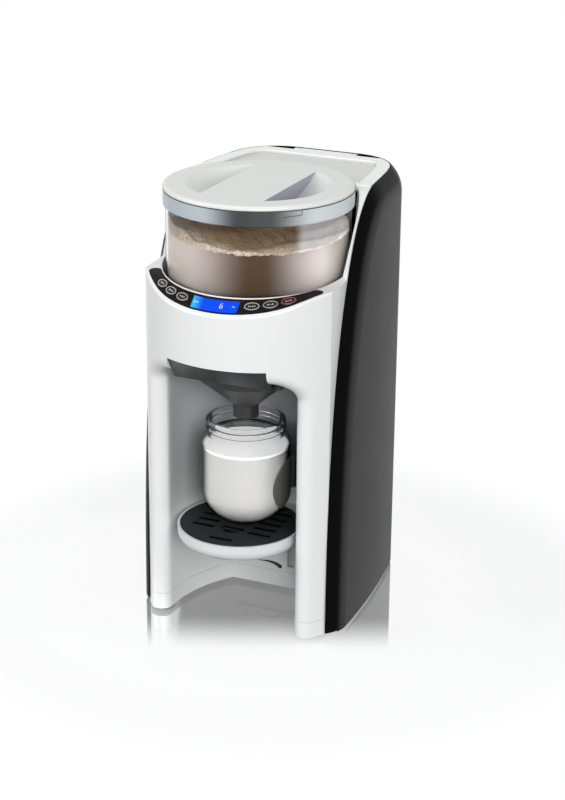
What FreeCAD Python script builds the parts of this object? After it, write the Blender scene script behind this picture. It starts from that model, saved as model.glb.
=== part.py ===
"""Countertop baby formula maker.

A white front housing with two legs stands round an open bottle bay, inside a dark shell that wraps
the sides and back. A round powder container sits in the housing's top, a water tank behind it, and a
mixing funnel slides out from under the head. Lengths are millimetres, +Z is up and the front faces -Y.

Everything is drawn about the powder container's upright axis (x = 0, y = 0) and moved back to the
centre of the footprint when it is written out.
"""
import FreeCAD
import Part
import math
import os
from FreeCAD import Vector

# ---------------------------------------------------------------- overall form
BODY_WIDTH = 200.0            # widest part of the dark shell
BODY_DEPTH = 268.0            # front of the curved face to the back of the shell
RIM_HEIGHT = 398.0            # inner edge of the dark rim, from the table
WIDEST_Y = -30.0              # where the shell is widest
REAR_CORNER_RADIUS = 58.0
REAR_CORNER_INSET = 69.0      # from the side to the centre of each rear corner
FOOT_HEIGHT = 4.0
FOOT_RADIUS = 8.0
FRONT_FOOT_INSET, FRONT_FOOT_Y = 25.0, -40.0
BACK_FOOT_INSET, BACK_FOOT_REACH = 42.0, 46.0
BASE_HEIGHT = 15.5            # white base ring between the feet and the seam
BASE_FLOOR = 2.5
SEAM_GAP = 0.3
VENT_WIDTH = 3.0
VENT_LENGTH = 40.0
VENT_REACH = 32.0             # from the back to the vents
VENT_PITCH = 7.0
VENT_X = 8.0
VENTS = 6

# dark shell
SHELL_WALL = 3.0
SHELL_ROUNDING = 32.0         # rounding that turns the shell in towards the white parts
SHELL_LIP = 10.5              # how far the rounding turns in before it ends
FENDER_TOP_Y = 65.0           # where the edge curve reaches the rim
FENDER_REACH = 113.5          # how far the edge curve swings forward
FENDER_POWER = 2.5            # squareness of the edge curve
FIT_GAP = 0.3                 # gap between neighbouring mouldings

# white housing
HOUSING_WALL = 3.0
HOUSING_BACK_Y = 48.0         # the wings beside the container end here
FACE_MARGIN = 18.0            # from the container's wall to the curved face
SHOULDER_START = 3.0          # from the container's wall to the shoulder
SHOULDER_END = 1.0            # from the shoulder to the face
SHOULDER_ABOVE_FLOOR = 15.5   # shoulder beside the container, above the well's floor
SHOULDER_FALL = 13.5          # from there down to the face
SHOULDER_INNER_RISE = 8.0     # rise of the inner edge round to the sides
SHOULDER_OUTER_RISE = 17.0    # rise of the outer edge round to the sides
SHOULDER_RISE_ANGLE = 55.0
SHOULDER_SETTLE = 3.5         # how far the outer edge falls again behind that angle
SHOULDER_ROUNDING = 2.0       # along the edge between shoulder and face
SHOULDER_THICK = 4.6          # plastic under the shoulder, deep enough for the buttons
SHOULDER_INNER_SPAN = 85.0
DRUM_DEPTH = 90.0             # from the rim down to the well's floor
WELL_FLOOR_THICK = 3.0
WELL_CLEARANCE = 2.5          # round the container at the well's floor
WELL_DRAFT = 3.7              # how much the well widens to the rim
WELL_FLOOR_MARGIN = 1.5

# bottle bay
LEG_WIDTH = 37.5              # from the bay to the shell's side
BAY_STRAIGHT = 51.0           # length of the bay's straight side walls
BAY_SIDE_RADIUS = 128.0
BAY_BACK_Y = 27.0
HEAD_DEPTH = 59.0             # from the well's floor down to the bay's ceiling
BAY_ARCH_RADIUS = 20.0
LEG_NOSE_RADIUS = 10.0

# control panel
PANEL_START = 4.2             # from the container's wall to the panel
PANEL_WIDTH = 11.0
PANEL_HALF_ANGLE = 57.0
PANEL_THICK = 1.2
PANEL_GAP = 0.15
DISPLAY_WIDTH = 43.0
DISPLAY_INNER_MARGIN = 1.6
DISPLAY_OUTER_MARGIN = 1.2
DISPLAY_GAP = 0.1
BUTTON_LENGTH = 14.0
BUTTON_WIDTH = 8.4
BUTTON_ANGLES = (-40.4, -30.6, -20.8, 20.8, 30.6, 40.4)
BUTTON_STAND = 0.9            # height of a button above the panel
BUTTON_DEPTH = 1.8            # how far it reaches under the panel's top
BUTTON_TRAVEL = 0.8
BUTTON_GAP = 0.25
HOLE_GAP = 0.25                # round screws, bushes and bosses
CIRCUIT_WIDTH = 19.0
CIRCUIT_MARGIN = 7.0          # from the face to the control board
CIRCUIT_DROP = 8.0            # from the well's floor plate down to the control board
CIRCUIT_HALF_ANGLE = 48.0
CIRCUIT_POST_ANGLE = 40.0
CIRCUIT_POST_RADIUS = 3.0
CHIP_ANGLES = (-30.0, -12.0, 8.0, 28.0)
CHIP_LENGTH, CHIP_WIDTH, CHIP_HEIGHT = 8.0, 6.0, 2.0

# powder container and lid
CONTAINER_RADIUS = 82.0
CONTAINER_WALL = 2.0
CONTAINER_FLOOR = 3.0
CONTAINER_DROP = 1.0          # from the rim down to the container's edge
COLLAR_THICK = 2.2
COLLAR_HEIGHT = 13.4
COLLAR_GAP = 0.1
COLLAR_LIP = 1.6              # how far the collar turns in over the container's edge
LID_THICK = 4.0
LID_GAP = 2.0                 # between the container's edge and the lid
LID_FLAT = 18.0               # from the container's wall in to the two finger pockets
LID_DISH_DEPTH = 18.0
LID_BAR_HALF = 30.0           # half width of the grip bar between the pockets
LID_SKIN = 2.0
PLUG_CLEARANCE = 1.8
PLUG_DEPTH = 9.0
SEAL_CLEARANCE = 0.3

# powder dosing
OUTLET_Y = -45.0              # where powder drops through the floor
OUTLET_RADIUS = 9.0
CHUTE_WALL = 1.5
WHEEL_CLEARANCE = 8.0
WHEEL_THICK = 4.0
WHEEL_POCKETS = 8
WHEEL_POCKET_RADIUS = 7.0
HUB_RADIUS = 12.0
HUB_HEIGHT = 11.0
HUB_ROUNDING = 5.0
STIR_ARM_CLEARANCE = 2.0      # from the wheel's edge to the end of an arm
STIR_ARM_WIDTH = 6.0
STIR_ARM_HEIGHT = 5.0
SCRAPER_LENGTH, SCRAPER_THICK, SCRAPER_HEIGHT = 6.0, 3.0, 14.0
SHAFT_RADIUS = 4.0
SHAFT_FLAT = 0.8
RUNNING_FIT = 0.05
SLIDE_FIT = 0.3

# gear train under the container
GEAR_MODULE = 1.0
DRIVE_TEETH = 48
IDLER_TEETH = 30
PINION_TEETH = 12
GEAR_THICK = 6.0
GEAR_DROP = 18.0              # from the well's floor down to the gears
TRAIN_ANGLE = 115.0           # direction of the train from the drive gear, from +X
TOOTH_BACKLASH = 0.12
GEAR_HUB_RADIUS = 8.0
GEAR_HOLE_RADIUS = 4.0
GEAR_HOLE_CIRCLE = 14.0
PLATE_DROP = 7.0              # from the gears down to their plate
PLATE_THICK = 3.0
PLATE_LEFT, PLATE_RIGHT, PLATE_FRONT, PLATE_BACK = -54.0, 36.0, -31.0, 73.0
PLATE_CORNER = 6.0
PLATE_POSTS = ((29.0, -22.0), (-29.0, -22.0), (9.0, 66.0), (-48.0, 26.0))
POST_RADIUS = 3.5
MOTOR_RADIUS = 17.0
MOTOR_LENGTH = 27.0
MOTOR_GEARBOX = 12.0
MOTOR_BOSS_RADIUS = 7.0
MOTOR_EAR_REACH, MOTOR_EAR_WIDTH, MOTOR_EAR_THICK = 24.0, 8.0, 2.5
MOTOR_SHAFT_RADIUS = 2.5
IDLER_PIN_RADIUS = 3.0
IDLER_PAD_RADIUS = 6.0

# mixing funnel
FUNNEL_DROP = 6.0             # from the bay's ceiling down to the funnel's deck
BOWL_MARGIN = 4.6             # from the visor's side in to the bowl
BOWL_FRONT_GAP = 7.0          # from the visor's foot back to the bowl
FUNNEL_BOWL_DEPTH = 11.0
CONE_DEPTH = 36.0
SPOUT_RADIUS = 11.6
SPOUT_LENGTH = 12.0
FUNNEL_WALL = 2.0
VISOR_SIDE = 15.9             # from the bay's side in to the visor
VISOR_RISE = 12.0             # top of the visor above the bay's ceiling
VISOR_INSET = 0.4             # behind the face
VISOR_FOOT = 25.0             # from the face back to the visor's foot
VISOR_THICK = 2.5
VISOR_GAP = 0.7               # seam between the funnel's lip and the face
DECK_THICK = 2.5
DECK_MARGIN = 0.6
BOWL_RIM_RISE = 1.2
BOWL_RIM_WIDTH = 0.6
FLANGE_THICK = 2.5            # upright flange behind the visor
FLANGE_GAP = 0.5
RUNNER_HEIGHT = 12.0
RUNNER_WIDTH = 2.5
RUNNER_FOOT = 5.0
RUNNER_FRONT_GAP = 12.0       # behind the flange
RUNNER_BACK_Y = -2.0

# drip tray
TRAY_SIDE_GAP = 5.5
TRAY_FRONT_GAP = 5.0          # from the face back to the tray
TRAY_HEIGHT = 16.0
TRAY_WALL = 2.2
TRAY_ROUNDING = 10.0
GRID_THICK = 2.5
GRID_SKIRT_INSET, GRID_SKIRT_WALL = 8.0, 1.6
GRID_ROW_PITCH = 12.3
GRID_ROWS = 6
GRID_FIRST_ROW = 37.5         # from the tray's front to the first pair of slots
GRID_SLOT_START = 17.0        # from the middle to the start of each slot
GRID_SLOT_LENGTH = 21.5
GRID_SLOT_WIDTH = 2.5
GRID_FRONT_SLOT = 15.5        # from the tray's front to the single slot
GRID_EDGE = 6.0               # least distance of a slot from the tray's rim
FINGER_Y = 38.0               # from the tray's front to the finger notch
FINGER_RADIUS = 12.0
DIP_RADIUS, DIP_DEPTH = 24.0, 1.4
BRACKET_OVERLAP = 3.0
BRACKET_THICK = 3.0
BRACKET_RISE = 16.0           # above the grid
FIN_THICK = 2.6
FIN_LENGTH = 24.0
TRAY_DROP = 60.0              # how far down the tray can be hooked
RAIL_SIDE = 29.5              # from the bay's side in to the rail
RAIL_THICK = 3.0
RAIL_MARGIN = 13.0            # of the rail below the lowest place of the tray
RAIL_RISE = 55.0              # of the rail above the grid
SLOT_EDGE = 9.5               # from the rail's side to the middle of each upright slot
SLOT_WIDTH = 6.0
HOOK_HEAD_WIDTH = 9.0
HOOK_HEAD_GAP = 0.6
HOOK_HEIGHT = 14.0
HOOK_DROP = 6.0

# bottle
BOTTLE_RADIUS = 40.4
BOTTLE_BASE_RADIUS = 14.0
BOTTLE_BASE_ROUND = 29.4
BOTTLE_HEIGHT = 98.0
BOTTLE_WALL = 1.8
BOTTLE_SHOULDER = 83.0
BOTTLE_NECK_RADIUS = 34.3
BOTTLE_RING = 2.0
BOTTLE_SEAT = 0.1             # above the grid
SPOUT_CLEARANCE = 2.0         # between the bottle's mouth and the spout

# water tank and its cover
TANK_GAP = 0.8                # beside the dark rim
TANK_WALL = 2.2
TANK_FLOOR = 3.0
TANK_WELL_GAP = 2.8           # behind the container's well
TANK_DEPTH = 212.0            # from the rim down to the shelf
SHELF_THICK = 3.0
COVER_THICK = 5.7
COVER_BORDER = 13.0
COVER_SINK = 2.4
COVER_CORNER = 14.0
COVER_CLEARANCE = 4.6         # round the container
HINGE_BARREL_RADIUS = 2.85
HINGE_PIN_RADIUS = 1.2
HINGE_RELIEF = 0.9            # gap round the cover's rear corners, which swing back
HINGE_EAR_X = 26.0            # middle of each tank ear that holds the pin
HINGE_EAR_WIDTH = 4.0
VALVE_STEM_RADIUS = 4.0
SPIGOT_RADIUS = 7.8
SPIGOT_LENGTH = 5.0
SEAL_WIDTH, SEAL_DEPTH = 1.9, 1.8
VALVE_CUP_RADIUS = 12.0

# screws
SCREW_RADIUS = 2.0
SCREW_HEAD_RADIUS = 4.2
SCREW_HEAD_HEIGHT = 1.3
SCREW_LENGTH = 26.0
SCREW_CROSS = 2.4
BOSS_RADIUS = 5.0
LEG_BOSS_INSET, LEG_BOSS_Y = 23.0, -12.0
SIDE_POST_INSET, SIDE_POST_REACH = 28.0, 30.0
REAR_POSTS = ((-14.0, 21.0), (40.0, 26.0))   # x, and distance from the back

# water works and electrics
PUMP_X, PUMP_REACH = -35.0, 50.0             # x, and distance from the back
PUMP_RADIUS = 17.0
PUMP_HEIGHT = 52.0
PUMP_HEAD_HEIGHT = 18.0
PORT_HEIGHT = 16.0            # of the side nipples above the base
NIPPLE_LENGTH = 10.0
SHELF_NIPPLE = 16.0           # how far the shelf's nipple hangs down
HEATER_X, HEATER_GAP = 22.0, 15.0
HEATER_RADIUS = 15.0
HEATER_TOP_Z = 130.0
HEATER_BAND_Z, HEATER_BAND_HEIGHT = 40.0, 8.0
HOSE_RADIUS = 4.5
HOSE_BORE = 3.0
HOSE_BEND = 16.0
HOT_HOSE_BEND = 14.0
HOT_HOSE_RISE = 22.0
NOZZLE_REACH = 18.0           # behind the funnel's middle
NOZZLE_RADIUS = 5.0
NOZZLE_BORE = 1.6
BOARD_THICK = 1.6
POWER_X = 52.0
POWER_LENGTH, POWER_HEIGHT, POWER_REACH = 46.0, 70.0, 26.0
CAN_RADIUS, CAN_HEIGHT, CAN_RISE, CAN_REACH = 7.0, 20.0, 14.0, 30.0
COIL_LENGTH, COIL_HEIGHT, COIL_DEPTH, COIL_REACH = 16.0, 18.0, 10.0, 9.0
LINK_WIDTH = 4.0
BUSH_RADIUS = 7.0
BUSH_BORE = 3.6
BUSH_Z = 24.0

# derived: rings round the container
FRONT_RADIUS = CONTAINER_RADIUS + FACE_MARGIN
SHOULDER_INNER_RADIUS = CONTAINER_RADIUS + SHOULDER_START
SHOULDER_OUTER_RADIUS = FRONT_RADIUS - SHOULDER_END
WELL_RADIUS = CONTAINER_RADIUS + WELL_CLEARANCE
WELL_TOP_RADIUS = WELL_RADIUS + WELL_DRAFT
WELL_FLOOR_RADIUS = WELL_RADIUS + WELL_FLOOR_MARGIN
PANEL_INNER_RADIUS = CONTAINER_RADIUS + PANEL_START
PANEL_OUTER_RADIUS = PANEL_INNER_RADIUS + PANEL_WIDTH
BUTTON_RADIUS = (PANEL_INNER_RADIUS + PANEL_OUTER_RADIUS) / 2
DISPLAY_INNER_RADIUS = PANEL_INNER_RADIUS + DISPLAY_INNER_MARGIN
DISPLAY_OUTER_RADIUS = PANEL_OUTER_RADIUS - DISPLAY_OUTER_MARGIN
CONTAINER_BORE = CONTAINER_RADIUS - CONTAINER_WALL
COLLAR_RADIUS = CONTAINER_RADIUS + COLLAR_THICK
LID_DISH_RADIUS = CONTAINER_RADIUS - LID_FLAT
PLUG_RADIUS = CONTAINER_BORE - PLUG_CLEARANCE
SEAL_RADIUS = CONTAINER_BORE - SEAL_CLEARANCE
WHEEL_RADIUS = CONTAINER_BORE - WHEEL_CLEARANCE
STIR_ARM_LENGTH = WHEEL_RADIUS - STIR_ARM_CLEARANCE
TANK_FRONT_RADIUS = WELL_TOP_RADIUS + TANK_WELL_GAP
COVER_FRONT_RADIUS = CONTAINER_RADIUS + COVER_CLEARANCE

# derived: places from front to back and side to side
AXIS_Y = -BODY_DEPTH / 2 + FRONT_RADIUS
BACK_Y = BODY_DEPTH - FRONT_RADIUS
REAR_CORNER_X = BODY_WIDTH / 2 - REAR_CORNER_INSET
REAR_CORNER_Y = BACK_Y - REAR_CORNER_RADIUS
BAY_HALF_WIDTH = BODY_WIDTH / 2 - LEG_WIDTH
BAY_STRAIGHT_Y = -FRONT_RADIUS + BAY_STRAIGHT
VISOR_HALF_WIDTH = BAY_HALF_WIDTH - VISOR_SIDE
VISOR_FOOT_Y = -FRONT_RADIUS + VISOR_FOOT
FUNNEL_BOWL_RADIUS = VISOR_HALF_WIDTH - BOWL_MARGIN
FUNNEL_Y = VISOR_FOOT_Y + BOWL_FRONT_GAP + FUNNEL_BOWL_RADIUS
RUNNER_FRONT_Y = VISOR_FOOT_Y + FLANGE_THICK + RUNNER_FRONT_GAP
TRAY_RADIUS = BAY_HALF_WIDTH - TRAY_SIDE_GAP
TRAY_Y = -FRONT_RADIUS + TRAY_FRONT_GAP + TRAY_RADIUS
RAIL_HALF_WIDTH = BAY_HALF_WIDTH - RAIL_SIDE
BRACKET_HALF_WIDTH = RAIL_HALF_WIDTH + BRACKET_OVERLAP
SLOT_X = RAIL_HALF_WIDTH - SLOT_EDGE
LEG_BOSS_X = BODY_WIDTH / 2 - LEG_BOSS_INSET
PUMP_Y = BACK_Y - PUMP_REACH
VALVE_X, VALVE_Y = PUMP_X, PUMP_Y
HEATER_Y = BAY_BACK_Y + HEATER_GAP + HEATER_RADIUS
NOZZLE_Y = FUNNEL_Y + NOZZLE_REACH

# derived: heights
BASE_TOP_Z = FOOT_HEIGHT + BASE_HEIGHT
BASE_FLOOR_Z = FOOT_HEIGHT + BASE_FLOOR
WELL_FLOOR_Z = RIM_HEIGHT - DRUM_DEPTH
WELL_UNDER_Z = WELL_FLOOR_Z - WELL_FLOOR_THICK
CONTAINER_TOP_Z = RIM_HEIGHT - CONTAINER_DROP
LID_EDGE_Z = CONTAINER_TOP_Z + LID_GAP
SHOULDER_INNER_Z = WELL_FLOOR_Z + SHOULDER_ABOVE_FLOOR
SHOULDER_OUTER_Z = SHOULDER_INNER_Z - SHOULDER_FALL
BAY_CEILING_Z = WELL_FLOOR_Z - HEAD_DEPTH
GEAR_Z = WELL_FLOOR_Z - GEAR_DROP
PLATE_Z = GEAR_Z - PLATE_DROP
FUNNEL_TOP_Z = BAY_CEILING_Z - FUNNEL_DROP
FUNNEL_CONE_Z = FUNNEL_TOP_Z - CONE_DEPTH
SPOUT_Z = FUNNEL_CONE_Z - SPOUT_LENGTH
VISOR_TOP_Z = BAY_CEILING_Z + VISOR_RISE
GRID_TOP_Z = SPOUT_Z - SPOUT_CLEARANCE - BOTTLE_HEIGHT
TRAY_LOW_Z = GRID_TOP_Z - TRAY_HEIGHT
BRACKET_TOP_Z = GRID_TOP_Z + BRACKET_RISE
RAIL_BOTTOM_Z = GRID_TOP_Z - TRAY_DROP - RAIL_MARGIN
RAIL_TOP_Z = GRID_TOP_Z + RAIL_RISE
SHELF_Z = RIM_HEIGHT - TANK_DEPTH
NIPPLE_RADIUS = HOSE_BORE - RUNNING_FIT
WHEEL_Z = WELL_FLOOR_Z + FIT_GAP + CONTAINER_FLOOR + SLIDE_FIT

# derived: the shell's edges
CORE_INSET = SHELL_LIP + FIT_GAP
LIP_DROP = SHELL_ROUNDING - math.sqrt(SHELL_ROUNDING ** 2 - (SHELL_ROUNDING - SHELL_LIP) ** 2)
ARC_MIDDLE = math.sqrt(0.5)   # middle of a quarter arc, as a share of its radius
FAR = RIM_HEIGHT + BODY_DEPTH  # far outside the machine


# ---------------------------------------------------------------- drawing helpers
def block(x0, x1, y0, y1, z0, z1):
    """Box between two corners."""
    return Part.makeBox(x1 - x0, y1 - y0, z1 - z0, Vector(x0, y0, z0))


def rod(radius, z0, z1, x=0.0, y=0.0):
    """Upright cylinder."""
    return Part.makeCylinder(radius, z1 - z0, Vector(x, y, z0))


def tube(outer, inner, z0, z1, x=0.0, y=0.0):
    """Upright tube."""
    return rod(outer, z0, z1, x, y).cut(rod(inner, z0 - 1, z1 + 1, x, y))


def polygon_face(points):
    """Flat face through points."""
    return Part.Face(Part.makePolygon(list(points) + [points[0]]))


def turned(profile, x=0.0, y=0.0):
    """Solid of revolution; profile is (radius, z) corners, or (mid, end) pairs for an arc."""
    edges = []
    last = Vector(profile[0][0], 0, profile[0][1])
    for item in list(profile[1:]) + [profile[0]]:
        if isinstance(item[0], tuple):
            middle = Vector(item[0][0], 0, item[0][1])
            end = Vector(item[1][0], 0, item[1][1])
            edges.append(Part.Arc(last, middle, end).toShape())
        else:
            end = Vector(item[0], 0, item[1])
            edges.append(Part.LineSegment(last, end).toShape())
        last = end
    face = Part.Face(Part.Wire(edges))
    solid = face.revolve(Vector(0, 0, 0), Vector(0, 0, 1), 360)
    solid.translate(Vector(x, y, 0))
    return solid


def fuse_all(shapes):
    """Union of several solids."""
    result = shapes[0]
    for shape in shapes[1:]:
        result = result.fuse(shape)
    return result.removeSplitter()


def cut_all(shape, tools):
    """Shape with each tool removed."""
    for tool in tools:
        shape = shape.cut(tool)
    return shape


def polar(radius, angle, z=0.0):
    """Point at an angle from the front (-Y), positive towards +X."""
    a = math.radians(angle)
    return Vector(radius * math.sin(a), -radius * math.cos(a), z)


def mirror_x(shape):
    """Copy on the other side of the middle plane."""
    return shape.mirror(Vector(0, 0, 0), Vector(1, 0, 0))


def edges_where(shape, test):
    """Edges whose middle point passes a test."""
    found = []
    for edge in shape.Edges:
        middle = edge.valueAt((edge.FirstParameter + edge.LastParameter) / 2)
        if test(edge, middle):
            found.append(edge)
    return found


# ---------------------------------------------------------------- the body's form
def side_radius():
    """Radius of the bowed side that meets the rear corner without a kink."""
    across = REAR_CORNER_X - BODY_WIDTH / 2
    along = REAR_CORNER_Y - WIDEST_Y
    return (across ** 2 + along ** 2 - REAR_CORNER_RADIUS ** 2) / (-2 * across - 2 * REAR_CORNER_RADIUS)


def plan_prism(inset, z0, z1):
    """Body outline seen from above, pulled in by inset and raised from z0 to z1."""
    bow = side_radius()
    side = Vector(BODY_WIDTH / 2 - bow, WIDEST_Y, z0)
    rear = Vector(REAR_CORNER_X, REAR_CORNER_Y, z0)
    bow -= inset
    corner = REAR_CORNER_RADIUS - inset
    front_y = -FRONT_RADIUS - 30.0
    start_angle = math.asin((front_y - side.y) / bow)
    join_angle = math.atan2(rear.y - side.y, rear.x - side.x)

    def on(centre, radius, angle):
        return centre + Vector(radius * math.cos(angle), radius * math.sin(angle), 0)

    right = [on(side, bow, start_angle), on(side, bow, (start_angle + join_angle) / 2),
             on(side, bow, join_angle), on(rear, corner, (join_angle + math.pi / 2) / 2),
             on(rear, corner, math.pi / 2)]
    left = [Vector(-p.x, p.y, p.z) for p in right]
    edges = [Part.Arc(*right[:3]).toShape(), Part.Arc(*right[2:]).toShape(),
             Part.LineSegment(right[4], left[4]).toShape(), Part.Arc(*left[:1:-1]).toShape(),
             Part.Arc(*left[2::-1]).toShape(), Part.LineSegment(left[0], right[0]).toShape()]
    return Part.Face(Part.Wire(edges)).extrude(Vector(0, 0, z1 - z0))


def fender_solid(offset):
    """Everything behind and below the edge curve that sweeps from the feet back to the rim."""
    reach = FENDER_REACH + offset
    top = RIM_HEIGHT + offset
    steps = 9
    points = []
    for i in range(steps):
        a = math.pi / 2 * i / (steps - 1)
        y = FENDER_TOP_Y - reach * math.cos(a) ** (2 / FENDER_POWER)
        points.append(Vector(-FAR, y, top * math.sin(a) ** (2 / FENDER_POWER)))
    curve = Part.BSplineCurve()
    curve.interpolate(Points=points, InitialTangent=Vector(0, 0, 1), FinalTangent=Vector(0, 1, 0))
    far_top = Vector(-FAR, BACK_Y + FAR, top)
    far_low = Vector(-FAR, BACK_Y + FAR, -FAR)
    near_low = Vector(-FAR, points[0].y, -FAR)
    edges = [curve.toShape(), Part.LineSegment(points[-1], far_top).toShape(),
             Part.LineSegment(far_top, far_low).toShape(), Part.LineSegment(far_low, near_low).toShape(),
             Part.LineSegment(near_low, points[0]).toShape()]
    return Part.Face(Part.Wire(edges)).extrude(Vector(2 * FAR, 0, 0))


def rounded_body(inset, offset, rounding):
    """The body's form with its front and top edges rounded."""
    top = RIM_HEIGHT + offset
    body = plan_prism(inset, FOOT_HEIGHT, top).common(fender_solid(offset))
    rim = []
    for face in body.Faces:
        u0, u1, v0, v1 = face.ParameterRange
        normal = face.normalAt((u0 + u1) / 2, (v0 + v1) / 2)
        if abs(normal.x) < 0.01 and (normal.z > 0.01 or normal.y < -0.5):
            for edge in face.Edges:
                ends = [v.Point for v in edge.Vertexes]
                sideways = (len(ends) == 2 and abs(ends[0].y - ends[1].y) < 1e-6
                            and abs(ends[0].z - ends[1].z) < 1e-6)
                if not sideways or ends[0].y > BACK_Y - inset - 1:
                    rim.append(edge)
    return body.makeFillet(rounding, rim)


def core_prism(z0, z1, shrink=0.0):
    """The white core inside the dark shell: curved face in front, body outline behind."""
    front = rod(FRONT_RADIUS - shrink, z0 - 1, z1 + 1)
    rear = block(-FAR, FAR, 0, FAR, z0 - 1, z1 + 1)
    return plan_prism(CORE_INSET + shrink, z0, z1).common(front.fuse(rear))


def shoulder_z(radius, angle):
    """Height of the shoulder round the container, falling outwards and rising to the sides."""
    inner = SHOULDER_INNER_Z + SHOULDER_INNER_RISE * (angle / SHOULDER_INNER_SPAN) ** 2
    rise = min(1.0, abs(angle) / SHOULDER_RISE_ANGLE) ** 2.2
    past = max(0.0, abs(angle) - SHOULDER_RISE_ANGLE) / (90.0 - SHOULDER_RISE_ANGLE)
    outer = SHOULDER_OUTER_Z + SHOULDER_OUTER_RISE * rise - SHOULDER_SETTLE * min(1.0, past) ** 1.5
    share = (radius - SHOULDER_INNER_RADIUS) / (SHOULDER_OUTER_RADIUS - SHOULDER_INNER_RADIUS)
    return inner + (outer - inner) * share


def shoulder_slab(low, high):
    """Slab that follows the shoulder, from low to high above it."""
    radii = [FRONT_RADIUS + 10.0 * i for i in range(-3, 2)]
    angles = [12.0 * i for i in range(-8, 9)]
    grid = [[polar(r, a, shoulder_z(r, a) + low) for a in angles] for r in radii]
    surface = Part.BSplineSurface()
    surface.interpolate(grid)
    return surface.toShape().extrude(Vector(0, 0, high - low))


def bay_prism(grow, z0, z1):
    """Plan of the bottle bay, grown by a wall thickness."""
    half = BAY_HALF_WIDTH + grow
    radius = BAY_SIDE_RADIUS + grow
    back = BAY_BACK_Y + grow
    centre_x = half - radius
    end_angle = math.asin((back - BAY_STRAIGHT_Y) / radius)

    def on(angle):
        return Vector(centre_x + radius * math.cos(angle), BAY_STRAIGHT_Y + radius * math.sin(angle), z0)

    front_y = -FRONT_RADIUS - 20.0
    right = [Vector(half, front_y, z0), on(0.0), on(end_angle / 2), on(end_angle)]
    left = [Vector(-p.x, p.y, p.z) for p in right]
    edges = [Part.LineSegment(right[0], right[1]).toShape(), Part.Arc(*right[1:]).toShape(),
             Part.LineSegment(right[3], left[3]).toShape(), Part.Arc(*left[:0:-1]).toShape(),
             Part.LineSegment(left[1], left[0]).toShape(), Part.LineSegment(left[0], right[0]).toShape()]
    return Part.Face(Part.Wire(edges)).extrude(Vector(0, 0, z1 - z0))


def bay_room(grow=0.0):
    """The bay with its arched ceiling; the arch is no wider than its back wall allows."""
    top = BAY_CEILING_Z + grow
    room = bay_prism(grow, -1.0, top)
    reach, depth = BAY_SIDE_RADIUS + grow, BAY_BACK_Y + grow - BAY_STRAIGHT_Y
    back_half = BAY_HALF_WIDTH - BAY_SIDE_RADIUS + math.sqrt(reach ** 2 - depth ** 2)
    front_y = -FRONT_RADIUS - 19
    arch = edges_where(room, lambda e, p: abs(p.z - top) < 1e-3 and abs(p.x) > 25 and p.y > front_y)
    return room.makeFillet(min(BAY_ARCH_RADIUS + grow, 0.7 * back_half), arch)


# ---------------------------------------------------------------- body mouldings
def make_side_shell():
    """Dark shell round the sides and back, turned in along its front and top edges."""
    outer = rounded_body(0.0, LIP_DROP, SHELL_ROUNDING)
    inner = rounded_body(SHELL_WALL, LIP_DROP - SHELL_WALL, SHELL_ROUNDING - SHELL_WALL)
    below = plan_prism(SHELL_WALL, -1.0, FOOT_HEIGHT + 1.0).common(fender_solid(LIP_DROP - SHELL_WALL))
    shell = outer.cut(inner).cut(below).cut(plan_prism(SHELL_LIP, -1.0, RIM_HEIGHT + FAR))
    inside = Vector(0, BACK_Y - 15, BUSH_Z)
    bush_hole = Part.makeCylinder(BUSH_RADIUS + HOLE_GAP, 20.0, inside, Vector(0, 1, 0))
    return shell.cut(bush_hole)


def visor_surface(grow):
    """Sloping front of the funnel: from an arc on the face down and back to a straight foot."""
    half = VISOR_HALF_WIDTH + grow
    radius = FRONT_RADIUS - VISOR_INSET
    side_y = -math.sqrt(radius ** 2 - half ** 2)
    top_z = VISOR_TOP_Z + grow
    foot_z = FUNNEL_TOP_Z - DECK_THICK
    left, right = Vector(-half, side_y, top_z), Vector(half, side_y, top_z)
    arc = Part.Arc(left, Vector(0, -radius, top_z), right).toShape()
    foot = Part.LineSegment(Vector(-half, VISOR_FOOT_Y, foot_z), Vector(half, VISOR_FOOT_Y, foot_z)).toShape()
    return Part.makeRuledSurface(arc, foot)


def visor_notch():
    """Opening in the face and ceiling that the funnel's lip fills."""
    surface = visor_surface(VISOR_GAP)
    surface.translate(Vector(0, VISOR_THICK + VISOR_GAP, 0))
    return surface.extrude(Vector(0, -FRONT_RADIUS / 2, 0))


def leg_boss(x, y, z0):
    """Screw boss in a leg, tied to the leg's outer wall."""
    outer = math.copysign(BODY_WIDTH / 2 - CORE_INSET - 1.0, x)
    web = block(min(x, outer), max(x, outer), y - 1.5, y + 1.5, z0, FOOT_HEIGHT + SCREW_LENGTH + 3)
    boss = rod(BOSS_RADIUS, z0, FOOT_HEIGHT + SCREW_LENGTH + 3, x, y).fuse(web)
    return boss.cut(rod(SCREW_RADIUS + RUNNING_FIT, 0, FOOT_HEIGHT + SCREW_LENGTH + 1, x, y))


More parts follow.
